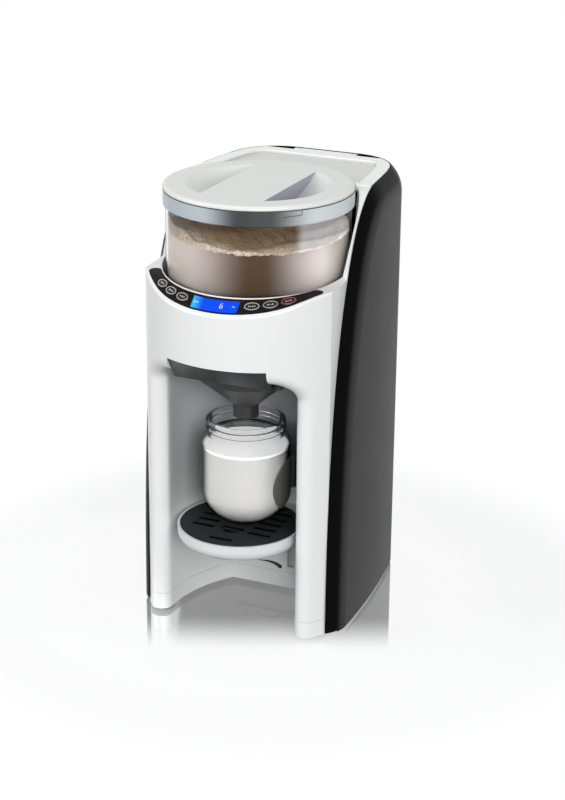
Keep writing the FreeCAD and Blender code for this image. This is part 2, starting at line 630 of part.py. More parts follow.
def make_front_housing():
    """White housing: curved face, legs, bay walls, container well and the wings beside it."""
    top = RIM_HEIGHT + 2.0
    z0 = BASE_TOP_Z + SEAM_GAP / 2
    body = core_prism(z0, top)
    behind = fender_solid(-FIT_GAP)
    body = body.cut(shoulder_slab(0.0, FAR).cut(behind))
    body = body.common(behind.fuse(block(-FAR, FAR, -FAR, 0, 0, SHOULDER_OUTER_Z + 40)))
    brow = edges_where(body, lambda e, p: abs(math.hypot(p.x, p.y) - FRONT_RADIUS) < 0.01 and p.y < -20
                       and SHOULDER_OUTER_Z - 5 < p.z < SHOULDER_INNER_Z + 12 and e.Length > 20)
    body = body.makeFillet(SHOULDER_ROUNDING, brow)
    body = body.cut(bay_room())
    noses = edges_where(body, lambda e, p: abs(abs(p.x) - BAY_HALF_WIDTH) < 0.6 and p.y < BAY_STRAIGHT_Y - 5
                        and e.Length > 150)
    body = body.makeFillet(LEG_NOSE_RADIUS, noses)
    floor_low = WELL_UNDER_Z
    leg_room = core_prism(-1.0, BAY_CEILING_Z + HOUSING_WALL, HOUSING_WALL)
    leg_room = leg_room.common(block(-FAR, FAR, BAY_STRAIGHT_Y, FAR, -2, FAR)).cut(bay_room(HOUSING_WALL))
    head_low = BAY_CEILING_Z + HOUSING_WALL
    head_room = core_prism(head_low, floor_low, HOUSING_WALL)
    head_room = head_room.common(block(-FAR, FAR, VISOR_FOOT_Y - HOUSING_WALL, FAR, 0, FAR))
    face_room = core_prism(VISOR_TOP_Z + 4.0, floor_low, HOUSING_WALL)
    ring = tube(FRONT_RADIUS - HOUSING_WALL, WELL_TOP_RADIUS, floor_low - 1, FAR * 2)
    front_part = block(-FAR, FAR, -FAR, 0, 0, FAR * 2)
    shoulder_room = ring.common(shoulder_slab(-70.0, -SHOULDER_THICK)).common(front_part)
    shoulder_room = shoulder_room.common(core_prism(floor_low - 1, FAR * 2, HOUSING_WALL))
    depth = RIM_HEIGHT - WELL_FLOOR_Z + 3
    well = Part.makeCone(WELL_RADIUS, WELL_TOP_RADIUS, depth, Vector(0, 0, WELL_FLOOR_Z))
    rear = block(-FAR, FAR, HOUSING_BACK_Y, FAR, -1, FAR * 2)
    rear = rear.cut(rod(WELL_FLOOR_RADIUS, floor_low, WELL_FLOOR_Z))
    body = cut_all(body, [leg_room, head_room, face_room, shoulder_room, well, rear, visor_notch()])
    boss = block(-RAIL_HALF_WIDTH - 3, RAIL_HALF_WIDTH + 3, BAY_BACK_Y + 1, BAY_BACK_Y + 7,
                 RAIL_BOTTOM_Z - 1.0, RAIL_TOP_Z + 2.0)
    body = fuse_all([body, boss] + [leg_boss(x, y, z0) for x, y in leg_bosses()])
    pocket_half = HOOK_HEAD_WIDTH / 2 + HOOK_HEAD_GAP
    holes = [rod(OUTLET_RADIUS + CHUTE_WALL + FIT_GAP, 0, WELL_FLOOR_Z + 1, 0, OUTLET_Y),
             rod(SHAFT_RADIUS + RUNNING_FIT, BAY_CEILING_Z + HOUSING_WALL + 1, WELL_FLOOR_Z + 1),
             rod(NOZZLE_RADIUS + FIT_GAP, BAY_CEILING_Z - 1, head_low + 1, HEATER_X, NOZZLE_Y),
             panel_footprint(PANEL_GAP).common(shoulder_slab(-PANEL_THICK - PANEL_GAP, 20.0))]
    for sign in (-1, 1):
        x = sign * SLOT_X
        holes.append(block(x - pocket_half, x + pocket_half, BAY_BACK_Y - 1, BAY_BACK_Y + 4,
                           RAIL_BOTTOM_Z + 3, RAIL_TOP_Z - 3))
    holes += [button_shape(angle, BUTTON_GAP, BUTTON_TRAVEL + 1.0) for angle in BUTTON_ANGLES]
    return cut_all(body, holes)


def make_base_ring():
    """White base: ring under the housing, with a floor behind the bay and a flange inside the shell."""
    low, high = FOOT_HEIGHT, BASE_TOP_Z - SEAM_GAP / 2
    ring = core_prism(low, high).cut(bay_prism(0.0, 0, FAR))
    noses = edges_where(ring, lambda e, p: abs(abs(p.x) - BAY_HALF_WIDTH) < 0.6 and p.y < BAY_STRAIGHT_Y - 5
                        and e.Length < BASE_HEIGHT + 1)
    ring = ring.makeFillet(LEG_NOSE_RADIUS, noses)
    room = core_prism(low + BASE_FLOOR, FAR, HOUSING_WALL)
    room = room.common(block(-FAR, FAR, BAY_STRAIGHT_Y, FAR, -2, FAR))
    room = room.cut(bay_prism(HOUSING_WALL, 0, FAR))
    inset = SHELL_WALL + FIT_GAP
    flange = rounded_body(inset, LIP_DROP - inset, SHELL_ROUNDING - inset)
    flange = flange.common(block(-FAR, FAR, -FAR, FAR, low, low + BASE_FLOOR)).cut(bay_prism(0.0, 0, FAR))
    base = ring.cut(room).fuse(flange)
    head_top = low + SCREW_HEAD_HEIGHT
    holes = [rod(SCREW_RADIUS + HOLE_GAP, 0, FAR, x, y) for x, y in screw_places()]
    holes += [rod(SCREW_HEAD_RADIUS + HOLE_GAP, 0, head_top, x, y) for x, y in screw_places()]
    back = BACK_Y - VENT_REACH
    vents = []
    for i in range(VENTS):
        x = VENT_X + VENT_PITCH * i
        vents.append(block(x - VENT_WIDTH / 2, x + VENT_WIDTH / 2, back - VENT_LENGTH, back, 0, FAR))
    return cut_all(base, holes + vents).removeSplitter()


def leg_bosses():
    """Places of the screw bosses in the housing's legs."""
    return [(-LEG_BOSS_X, LEG_BOSS_Y), (LEG_BOSS_X, LEG_BOSS_Y)]


def shelf_posts():
    """Places of the posts that carry the tank's shelf."""
    x, y = BODY_WIDTH / 2 - SIDE_POST_INSET, HOUSING_BACK_Y + SIDE_POST_REACH
    return [(-x, y), (x, y)] + [(post_x, BACK_Y - reach) for post_x, reach in REAR_POSTS]


def screw_places():
    """Screws up through the base into the leg bosses and the shelf's posts."""
    return leg_bosses() + shelf_posts()


def make_base_screws():
    """Pan-head screws that hold the base."""
    screws = []
    for x, y in screw_places():
        top = FOOT_HEIGHT + SCREW_HEAD_HEIGHT
        head = rod(SCREW_HEAD_RADIUS, FOOT_HEIGHT, top, x, y)
        shank = rod(SCREW_RADIUS, top - 0.3, FOOT_HEIGHT + SCREW_LENGTH, x, y)
        cross = block(x - SCREW_CROSS, x + SCREW_CROSS, y - 0.5, y + 0.5, 0, top - 0.7)
        cross = cross.fuse(block(x - 0.5, x + 0.5, y - SCREW_CROSS, y + SCREW_CROSS, 0, top - 0.7))
        screws.append(head.fuse(shank).cut(cross))
    return Part.makeCompound(screws)


def make_rubber_feet():
    """Four soft feet with a rounded lower edge."""
    feet = []
    front_x, back_x = BODY_WIDTH / 2 - FRONT_FOOT_INSET, BODY_WIDTH / 2 - BACK_FOOT_INSET
    back_y = BACK_Y - BACK_FOOT_REACH
    for x, y in [(-front_x, FRONT_FOOT_Y), (front_x, FRONT_FOOT_Y), (-back_x, back_y), (back_x, back_y)]:
        foot = rod(FOOT_RADIUS, 0.0, FOOT_HEIGHT, x, y)
        feet.append(foot.makeChamfer(0.8, edges_where(foot, lambda e, p: abs(p.z) < 1e-3 and e.Length > 20)))
    return Part.makeCompound(feet)


def make_cord_bush():
    """Round bush in the back of the shell where the lead passes."""
    centre = Vector(0, BACK_Y - SHELL_WALL - 2.0, BUSH_Z)
    bush = Part.makeCylinder(BUSH_RADIUS, SHELL_WALL + 2.0, centre, Vector(0, 1, 0))
    flange = Part.makeCylinder(BUSH_RADIUS + 2.0, 1.7, centre, Vector(0, 1, 0))
    bore = Part.makeCylinder(BUSH_BORE, 30.0, centre - Vector(0, 10, 0), Vector(0, 1, 0))
    return bush.fuse(flange).cut(bore).removeSplitter()


# ---------------------------------------------------------------- control panel
def panel_footprint(grow):
    """Upright prism over the crescent-shaped panel with rounded ends."""
    low, high = WELL_UNDER_Z - 55, WELL_FLOOR_Z + 45
    ring = tube(PANEL_OUTER_RADIUS + grow, PANEL_INNER_RADIUS - grow, low, high)
    half = PANEL_HALF_ANGLE
    rays = [polar(FAR, a, low) for a in (-half, -half / 2, 0, half / 2, half)]
    wedge = polygon_face([Vector(0, 0, low)] + rays)
    ring = ring.common(wedge.extrude(Vector(0, 0, high - low)))
    middle = (PANEL_OUTER_RADIUS + PANEL_INNER_RADIUS) / 2
    end = (PANEL_OUTER_RADIUS - PANEL_INNER_RADIUS) / 2 + grow
    ends = [polar(middle, a) for a in (-half, half)]
    return fuse_all([ring] + [rod(end, low, high, p.x, p.y) for p in ends])


def button_frame(angle):
    """Middle of a button on the shoulder, and the directions along, across and out of the surface."""
    step = 0.5
    here = polar(BUTTON_RADIUS, angle, shoulder_z(BUTTON_RADIUS, angle))
    outer = polar(BUTTON_RADIUS + step, angle, shoulder_z(BUTTON_RADIUS + step, angle))
    left = polar(BUTTON_RADIUS, angle - step, shoulder_z(BUTTON_RADIUS, angle - step))
    right = polar(BUTTON_RADIUS, angle + step, shoulder_z(BUTTON_RADIUS, angle + step))
    along = (right - left).normalize()
    out = (outer - here).cross(along).normalize()
    return here, along, out.cross(along), out


def button_shape(angle, grow=0.0, deeper=0.0):
    """Oval button, or the hole for it when grown."""
    here, along, across, out = button_frame(angle)
    height = BUTTON_STAND + BUTTON_DEPTH + deeper + grow
    half = BUTTON_LENGTH / 2 + grow
    minor = BUTTON_WIDTH / 2 + grow
    ellipse = Part.Ellipse(Vector(0, 0, 0), half, minor)
    solid = Part.Face(Part.Wire([ellipse.toShape()])).extrude(Vector(0, 0, height))
    if grow == 0.0:
        solid = solid.makeChamfer(0.3, edges_where(solid, lambda e, p: abs(p.z - height) < 1e-3))
    start = here - out * (BUTTON_DEPTH + deeper)
    matrix = FreeCAD.Matrix(along.x, across.x, out.x, start.x, along.y, across.y, out.y, start.y,
                            along.z, across.z, out.z, start.z, 0, 0, 0, 1)
    solid.Placement = FreeCAD.Placement(matrix)
    return solid


def display_footprint(grow):
    """Upright prism over the display window, which follows the panel's arcs."""
    half = DISPLAY_WIDTH / 2 + grow
    low, high = SHOULDER_OUTER_Z - 20, SHOULDER_INNER_Z + 20
    ring = tube(DISPLAY_OUTER_RADIUS + grow, DISPLAY_INNER_RADIUS - grow, low, high)
    return ring.common(block(-half, half, -FRONT_RADIUS, 0, low - 1, high + 1))


def make_control_panel():
    """Glossy crescent overlay with holes for the display and six buttons."""
    panel = panel_footprint(0.0).common(shoulder_slab(-PANEL_THICK, 0.05))
    holes = [button_shape(angle, BUTTON_GAP, 1.0) for angle in BUTTON_ANGLES]
    return cut_all(panel, holes + [display_footprint(DISPLAY_GAP)])


def make_display_window():
    """Blue display window set in the panel."""
    return display_footprint(0.0).common(shoulder_slab(-PANEL_THICK, 0.05))


def make_control_board():
    """Circuit board under the panel, hung on two posts."""
    low = WELL_UNDER_Z - CIRCUIT_DROP
    outer = FRONT_RADIUS - CIRCUIT_MARGIN
    inner = outer - CIRCUIT_WIDTH
    board = tube(outer, inner, low, low + BOARD_THICK)
    half = CIRCUIT_HALF_ANGLE
    wedge = polygon_face([Vector(0, 0, 0)] + [polar(FAR, a) for a in (-half, -half / 2, 0, half / 2, half)])
    parts = [board.common(wedge.extrude(Vector(0, 0, FAR * 2)))]
    for angle in (-CIRCUIT_POST_ANGLE, CIRCUIT_POST_ANGLE):
        post = polar(inner + 2 * CIRCUIT_POST_RADIUS, angle)
        parts.append(rod(CIRCUIT_POST_RADIUS, low + BOARD_THICK - 0.2, WELL_UNDER_Z, post.x, post.y))
    for angle in CHIP_ANGLES:
        chip = polar((inner + outer) / 2, angle)
        parts.append(block(chip.x - CHIP_LENGTH / 2, chip.x + CHIP_LENGTH / 2, chip.y - CHIP_WIDTH / 2,
                           chip.y + CHIP_WIDTH / 2, low - CHIP_HEIGHT, low + 0.2))
    return fuse_all(parts)


# ---------------------------------------------------------------- powder container
def make_powder_container():
    """Clear open-topped drum with a drop hole and a hole for the drive shaft."""
    inner = CONTAINER_BORE
    low = WELL_FLOOR_Z + FIT_GAP
    bend = ((CONTAINER_RADIUS - 0.9, low + 0.9), (CONTAINER_RADIUS, low + 3))
    drum = turned([(0, low), (CONTAINER_RADIUS - 3, low), bend, (CONTAINER_RADIUS, CONTAINER_TOP_Z),
                   (inner, CONTAINER_TOP_Z), (inner, low + CONTAINER_FLOOR), (0, low + CONTAINER_FLOOR)])
    holes = [rod(OUTLET_RADIUS, low - 1, low + CONTAINER_FLOOR + 1, 0, OUTLET_Y),
             rod(SHAFT_RADIUS + 0.5, low - 1, low + CONTAINER_FLOOR + 1)]
    return cut_all(drum, holes)


def make_container_collar():
    """Silvery ring round the container's top, with a small lip below."""
    inner = CONTAINER_RADIUS + COLLAR_GAP
    low = LID_EDGE_Z - FIT_GAP - COLLAR_HEIGHT
    high = LID_EDGE_Z - FIT_GAP
    return turned([(inner, low), (COLLAR_RADIUS - 0.8, low), ((COLLAR_RADIUS - 0.2, low + 0.2),
                   (COLLAR_RADIUS, low + 0.8)), (COLLAR_RADIUS, high), (inner - COLLAR_LIP, high),
                   (inner - COLLAR_LIP, CONTAINER_TOP_Z + COLLAR_GAP), (inner, CONTAINER_TOP_Z + COLLAR_GAP)])


def lid_ball(extra):
    """Ball whose cap is the lid's dish."""
    radius = (LID_DISH_RADIUS ** 2 + LID_DISH_DEPTH ** 2) / (2 * LID_DISH_DEPTH)
    top = LID_EDGE_Z + LID_THICK
    return Part.makeSphere(radius + extra, Vector(0, 0, top - LID_DISH_DEPTH + radius))


def make_container_lid():
    """Twist lid: flat rim, dished middle and a grip bar across it, with a plug skirt below."""
    top = LID_EDGE_Z + LID_THICK
    edge = COLLAR_RADIUS
    disc = turned([(0, LID_EDGE_Z), (edge - 0.6, LID_EDGE_Z), ((edge - 0.15, LID_EDGE_Z + 0.3),
                   (edge, LID_EDGE_Z + 0.9)), (edge, top - 2.6), ((edge - 0.8, top - 0.8), (edge - 2.6, top)),
                   (0, top)])
    dish = lid_ball(LID_SKIN).cut(block(-FAR, FAR, -FAR, FAR, LID_EDGE_Z + 1, FAR * 3))
    skirt = tube(PLUG_RADIUS, PLUG_RADIUS - LID_SKIN, LID_EDGE_Z - PLUG_DEPTH, LID_EDGE_Z + 0.5)
    hollow = lid_ball(0.0).common(block(-FAR, FAR, -FAR, FAR, 0, top + 1))
    bar = block(-LID_BAR_HALF, LID_BAR_HALF, -FAR, FAR, 0, top)
    inside = LID_BAR_HALF - LID_SKIN
    under = block(-inside, inside, -FAR, FAR, 0, top - LID_SKIN).common(rod(LID_DISH_RADIUS - 6, 0, top))
    lid = disc.fuse(dish).cut(hollow).fuse(hollow.common(bar)).cut(under)
    return lid.fuse(skirt).removeSplitter()


def make_lid_seal():
    """Soft ring between the lid's skirt and the container."""
    low = LID_EDGE_Z - PLUG_DEPTH + 1.5
    return turned([(PLUG_RADIUS + 0.2, low), (SEAL_RADIUS, low + 1.2), (PLUG_RADIUS + 0.6, low + 2.0),
                   (SEAL_RADIUS, low + 3.2), (PLUG_RADIUS + 0.2, low + 4.4)])


def make_dosing_wheel():
    """Wheel with round measuring pockets that turns on the container's floor."""
    low = WHEEL_Z
    wheel = rod(WHEEL_RADIUS, low, low + WHEEL_THICK).fuse(rod(HUB_RADIUS, low, low + HUB_HEIGHT))
    tools = [rod(SHAFT_RADIUS + SLIDE_FIT, 0, low + HUB_HEIGHT - 2)]
    for i in range(WHEEL_POCKETS):
        centre = polar(-OUTLET_Y, 360.0 * i / WHEEL_POCKETS)
        tools.append(rod(WHEEL_POCKET_RADIUS, 0, FAR * 2, centre.x, centre.y))
    return cut_all(wheel, tools)


def make_stir_paddle():
    """Stirrer on the wheel's hub: three swept arms with scraper tips."""
    low = WHEEL_Z + HUB_HEIGHT
    high = low + HUB_HEIGHT
    hub = rod(HUB_RADIUS, low, high)
    parts = [hub.makeFillet(HUB_ROUNDING, edges_where(hub, lambda e, p: abs(p.z - high) < 1e-3))]
    for i in range(3):
        half = STIR_ARM_WIDTH / 2
        arm = block(HUB_RADIUS - 3, STIR_ARM_LENGTH, -half, half, low, low + STIR_ARM_HEIGHT)
        tip = block(STIR_ARM_LENGTH - SCRAPER_LENGTH, STIR_ARM_LENGTH, -SCRAPER_THICK / 2, SCRAPER_THICK / 2,
                    low + 1, low + SCRAPER_HEIGHT)
        arm = arm.fuse(tip)
        arm.rotate(Vector(0, 0, 0), Vector(0, 0, 1), 30 + 120 * i)
        parts.append(arm)
    return fuse_all(parts)


# ---------------------------------------------------------------- gear train
def gear_profile(teeth, phase, backlash):
    """Closed outline of a spur gear with straight-flanked teeth, a tooth centred at the phase angle."""
    pitch = GEAR_MODULE * teeth / 2
    root = pitch - 1.25 * GEAR_MODULE
    tip = pitch + GEAR_MODULE * 0.9
    half = math.pi * GEAR_MODULE / 4 - backlash
    flare = math.tan(math.radians(20))
    points = []
    for i in range(teeth):
        centre = phase + 360.0 * i / teeth
        for radius, sign in ((root, -1), (tip, -1), (tip, 1), (root, 1)):
            width = half + (pitch - radius) * flare
            angle = math.radians(centre) + sign * width / radius
            points.append(Vector(radius * math.cos(angle), radius * math.sin(angle), 0))
    return points


def gear_solid(teeth, phase, centre):
    """Spur gear at the gear level."""
    face = polygon_face(gear_profile(teeth, phase, TOOTH_BACKLASH))
    solid = face.extrude(Vector(0, 0, GEAR_THICK))
    solid.translate(Vector(centre.x, centre.y, GEAR_Z))
    return solid


def train_point(distance):
    """Point along the line of gear centres."""
    a = math.radians(TRAIN_ANGLE)
    return Vector(distance * math.cos(a), distance * math.sin(a), 0)


def idler_centre():
    """Idler axis, one mesh away from the drive gear."""
    return train_point(GEAR_MODULE * (DRIVE_TEETH + IDLER_TEETH) / 2)


def pinion_centre():
    """Motor axis, one mesh beyond the idler."""
    return train_point(GEAR_MODULE * (DRIVE_TEETH + 2 * IDLER_TEETH + PINION_TEETH) / 2)


def make_drive_gear():
    """Large gear under the well, on the drive shaft, with lightening holes."""
    gear = gear_solid(DRIVE_TEETH, TRAIN_ANGLE, Vector(0, 0, 0))
    tools = []
    for i in range(6):
        a = math.radians(60 * i)
        x, y = GEAR_HOLE_CIRCLE * math.cos(a), GEAR_HOLE_CIRCLE * math.sin(a)
        tools.append(rod(GEAR_HOLE_RADIUS, 0, FAR * 2, x, y))
    hub = rod(GEAR_HUB_RADIUS, GEAR_Z - 1.5, GEAR_Z + GEAR_THICK + 2)
    return cut_all(gear, tools).fuse(hub).cut(rod(SHAFT_RADIUS + RUNNING_FIT, 0, FAR * 2)).removeSplitter()


def make_drive_shaft():
    """Shaft from the gear plate up into the dosing wheel's hub."""
    low = PLATE_Z
    high = WHEEL_Z + HUB_HEIGHT - 3
    shaft = rod(SHAFT_RADIUS, low, high)
    flat = block(SHAFT_RADIUS - SHAFT_FLAT, SHAFT_RADIUS + 1, -SHAFT_RADIUS, SHAFT_RADIUS, WHEEL_Z, high + 1)
    return shaft.cut(flat).cut(mirror_x(flat))


def make_idler_gear():
    """Idler between the motor pinion and the drive gear."""
    centre = idler_centre()
    phase = TRAIN_ANGLE + 180 + 180.0 / IDLER_TEETH
    gear = gear_solid(IDLER_TEETH, phase, centre)
    return gear.cut(rod(IDLER_PIN_RADIUS + RUNNING_FIT, 0, FAR * 2, centre.x, centre.y))


def make_motor_pinion():
    """Pinion and the motor shaft that carries it."""
    centre = pinion_centre()
    gear = gear_solid(PINION_TEETH, TRAIN_ANGLE + 180, centre)
    shaft = rod(MOTOR_SHAFT_RADIUS, PLATE_Z - 6, GEAR_Z + GEAR_THICK + 1, centre.x, centre.y)
    return gear.fuse(shaft).removeSplitter()


def make_gear_plate():
    """Plate that carries the gear train, on four posts under the well's floor."""
    low, high = PLATE_Z, PLATE_Z + PLATE_THICK
    plate = block(PLATE_LEFT, PLATE_RIGHT, PLATE_FRONT, PLATE_BACK, low, high)
    plate = plate.makeFillet(PLATE_CORNER, edges_where(plate, lambda e, p: e.Length < PLATE_THICK + 0.1))
    idler, motor = idler_centre(), pinion_centre()
    posts = [rod(POST_RADIUS, high - 0.5, WELL_UNDER_Z, x, y) for x, y in PLATE_POSTS]
    pin = rod(IDLER_PIN_RADIUS, high - 0.5, GEAR_Z + GEAR_THICK + 1.5, idler.x, idler.y)
    pad = rod(IDLER_PAD_RADIUS, high - 0.5, GEAR_Z - 0.4, idler.x, idler.y)
    holes = [rod(SHAFT_RADIUS + RUNNING_FIT, 0, FAR * 2),
             rod(MOTOR_BOSS_RADIUS + HOLE_GAP, 0, FAR * 2, motor.x, motor.y)]
    return cut_all(fuse_all([plate, pad, pin] + posts), holes)


def make_gear_motor():
    """Geared motor hung under the plate."""
    centre = pinion_centre()
    gearbox = rod(MOTOR_RADIUS, PLATE_Z - MOTOR_GEARBOX, PLATE_Z, centre.x, centre.y)
    can = rod(MOTOR_RADIUS - 3, PLATE_Z - MOTOR_LENGTH, PLATE_Z - MOTOR_GEARBOX + 1, centre.x, centre.y)
    boss = rod(MOTOR_BOSS_RADIUS, PLATE_Z - 1, PLATE_Z + PLATE_THICK, centre.x, centre.y)
    ears = block(centre.x - MOTOR_EAR_REACH, centre.x + MOTOR_EAR_REACH, centre.y - MOTOR_EAR_WIDTH / 2,
                 centre.y + MOTOR_EAR_WIDTH / 2, PLATE_Z - MOTOR_EAR_THICK, PLATE_Z)
    bore = rod(MOTOR_SHAFT_RADIUS + RUNNING_FIT, PLATE_Z - 7, PLATE_Z + 20, centre.x, centre.y)
    return fuse_all([gearbox, can, boss, ears]).cut(bore)


def make_powder_chute():
    """Short tube from the well's floor down through the bay ceiling."""
    outer = OUTLET_RADIUS + CHUTE_WALL
    low = BAY_CEILING_Z + 0.5
    high = WELL_FLOOR_Z - 0.2
    under = WELL_UNDER_Z
    wide = rod(outer + 4, under - 2.5, under, 0, OUTLET_Y)
    return rod(outer, low, high, 0, OUTLET_Y).fuse(wide).cut(rod(OUTLET_RADIUS, 0, FAR * 2, 0, OUTLET_Y))


# ---------------------------------------------------------------- mixing funnel
def make_mixing_funnel():
    """Removable funnel: deck with slide flanges, bowl, cone, spout and visor."""
    top = FUNNEL_TOP_Z
    wall = FUNNEL_WALL
    bowl_low = top - FUNNEL_BOWL_DEPTH
    big, small = FUNNEL_BOWL_RADIUS, SPOUT_RADIUS
    outer = turned([(0, SPOUT_Z), (small, SPOUT_Z), (small, FUNNEL_CONE_Z), (big, bowl_low), (big, top),
                    (0, top)], 0, FUNNEL_Y)
    inner = turned([(0, SPOUT_Z - 1), (small - wall, SPOUT_Z - 1), (small - wall, FUNNEL_CONE_Z + 0.8),
                    (big - wall, bowl_low + 0.8), (big - wall, top + 1), (0, top + 1)], 0, FUNNEL_Y)
    half = VISOR_HALF_WIDTH - DECK_MARGIN
    deck = block(-half, half, VISOR_FOOT_Y, RUNNER_BACK_Y + 2, top - DECK_THICK, top)
    edge, high = big + BOWL_RIM_WIDTH, top + BOWL_RIM_RISE
    rim = turned([(big - wall, top - 2), (edge, top - 2), (edge, high), (big - wall, high)], 0, FUNNEL_Y)
    flange = block(-half, half, VISOR_FOOT_Y, VISOR_FOOT_Y + FLANGE_THICK, top - DECK_THICK, FAR)
    flange = flange.common(bay_room(-FLANGE_GAP))
    body = fuse_all([outer, deck, rim, flange]).cut(inner)
    visor = visor_surface(0.0).extrude(Vector(0, VISOR_THICK, 0))
    return body.fuse(visor).removeSplitter()


def make_funnel_runners():
    """Two L-shaped runners under the bay ceiling."""
    inner = VISOR_HALF_WIDTH - DECK_MARGIN + SLIDE_FIT
    low = BAY_CEILING_Z - RUNNER_HEIGHT
    web = block(inner, inner + RUNNER_WIDTH, RUNNER_FRONT_Y, RUNNER_BACK_Y, low, BAY_CEILING_Z)
    shelf_top = FUNNEL_TOP_Z - DECK_THICK - SLIDE_FIT
    foot = block(inner - RUNNER_FOOT, inner + 0.5, RUNNER_FRONT_Y, RUNNER_BACK_Y, low, shelf_top)
    room = FUNNEL_BOWL_RADIUS + BOWL_RIM_WIDTH + SLIDE_FIT
    runner = web.fuse(foot).cut(rod(room, 0, FAR, 0, FUNNEL_Y))
    travel = block(0, room, RUNNER_FRONT_Y - 1, FUNNEL_Y, 0, shelf_top + 0.1)
    runner = runner.cut(travel).removeSplitter().common(bay_room())
    return Part.makeCompound([runner, mirror_x(runner)])


def make_water_nozzle():
    """Nozzle through the bay ceiling, over the funnel's bowl."""
    low = FUNNEL_TOP_Z + BOWL_RIM_RISE + 1.4
    ceiling = BAY_CEILING_Z + HOUSING_WALL
    flange = NOZZLE_RADIUS + 3
    top = ceiling + HOT_HOSE_RISE - HOT_HOSE_BEND
    return turned([(NOZZLE_BORE, low), (NOZZLE_RADIUS - 1.5, low), (NOZZLE_RADIUS, low + 3),
                   (NOZZLE_RADIUS, ceiling), (flange, ceiling), (flange, ceiling + 2),
                   (NIPPLE_RADIUS, ceiling + 2), (NIPPLE_RADIUS, top), (NOZZLE_BORE, top)],
                  HEATER_X, NOZZLE_Y)


# ---------------------------------------------------------------- drip tray and bottle
def rounded_cup(radius, rounding, low, high):
    """Round cup form with a rounded lower edge."""
    centre_r, centre_z = radius - rounding, low + rounding
    middle = (centre_r + rounding * ARC_MIDDLE, centre_z - rounding * ARC_MIDDLE)
    profile = [(0, low), (centre_r, low), (middle, (radius, centre_z)), (radius, high), (0, high)]
    return turned(profile, 0, TRAY_Y)


def tray_fin(sign, front, tangent):
    """Curved fin that stiffens the bracket at one side of the tray."""
    low, high = GRID_TOP_Z - 1, BRACKET_TOP_Z - 4
    steps = 6
    points = [Vector(0, front + 1, low), Vector(0, front + 1, high)]
    for i in range(1, steps + 1):
        share = i / steps
        points.append(Vector(0, front - FIN_LENGTH * share, low + (high - low) * (1 - share) ** 2 + 0.2))
    points.append(Vector(0, front - FIN_LENGTH, low))
    fin = polygon_face(points).extrude(Vector(FIN_THICK, 0, 0))
    lean = math.degrees(math.atan2(tangent.x - BRACKET_HALF_WIDTH, front - tangent.y))
    fin.translate(Vector(-FIN_THICK, 0, 0))
    fin.rotate(Vector(0, front + 1, low), Vector(0, 0, 1), lean)
    fin.translate(Vector(BRACKET_HALF_WIDTH - 0.6, 0, 0))
    return fin if sign > 0 else mirror_x(fin)


def make_drip_tray():
    """Round tray whose sides run straight back to a bracket with two hooks."""
    low, high = TRAY_LOW_Z, GRID_TOP_Z
    cup = rounded_cup(TRAY_RADIUS, TRAY_ROUNDING, low, high)
    hollow = rounded_cup(TRAY_RADIUS - TRAY_WALL, TRAY_ROUNDING - TRAY_WALL, low + TRAY_WALL, high + 1)
    plate_back = BAY_BACK_Y - RAIL_THICK - SLIDE_FIT
    plate_front = plate_back - BRACKET_THICK
    half = BRACKET_HALF_WIDTH
    plate = block(-half, half, plate_front, plate_back, low + 2, BRACKET_TOP_Z)
    plate = plate.makeFillet(8.0, edges_where(plate, lambda e, p: abs(p.z - BRACKET_TOP_Z) < 1e-3
                                              and abs(abs(p.x) - half) < 1e-3))
    reach = plate_back - TRAY_Y
    bearing = math.atan2(reach, half) - math.acos(TRAY_RADIUS / math.hypot(half, reach))
    tangent = Vector(TRAY_RADIUS * math.cos(bearing), TRAY_Y + TRAY_RADIUS * math.sin(bearing), low + 3)
    web_edge = [Vector(-half, plate_back, low + 3), Vector(half, plate_back, low + 3), tangent,
                Vector(-tangent.x, tangent.y, low + 3)]
    web = polygon_face(web_edge).extrude(Vector(0, 0, high - low - 3))
    parts = [cup, plate, web]
    for sign in (-1, 1):
        parts.append(tray_fin(sign, plate_front, tangent))
        x = sign * SLOT_X
        neck_z = high - HOOK_DROP
        neck = block(x - SLOT_WIDTH / 2 + 1, x + SLOT_WIDTH / 2 - 1, plate_back - 0.5, BAY_BACK_Y + 1.5,
                     neck_z, neck_z + HOOK_HEIGHT)
        head_half = HOOK_HEAD_WIDTH / 2
        head = block(x - head_half, x + head_half, BAY_BACK_Y + SLIDE_FIT, BAY_BACK_Y + 2.8,
                     neck_z, neck_z + HOOK_HEIGHT)
        parts += [neck, head]
    return fuse_all(parts).cut(hollow)


def grid_slots():
    """Drain slots in rows, left and right of the middle, with one in front."""
    front = TRAY_Y - TRAY_RADIUS
    slots = [(0.0, front + GRID_FRONT_SLOT, GRID_SLOT_LENGTH)]
    for i in range(GRID_ROWS):
        y = front + GRID_FIRST_ROW + GRID_ROW_PITCH * i
        edge = math.sqrt(max(0.0, (TRAY_RADIUS - GRID_EDGE) ** 2 - (y - TRAY_Y) ** 2))
        length = min(GRID_SLOT_LENGTH, edge - GRID_SLOT_START)
        if length > 2 * GRID_SLOT_WIDTH:
            slots += [(sign * (GRID_SLOT_START + length / 2), y, length) for sign in (-1, 1)]
    return slots


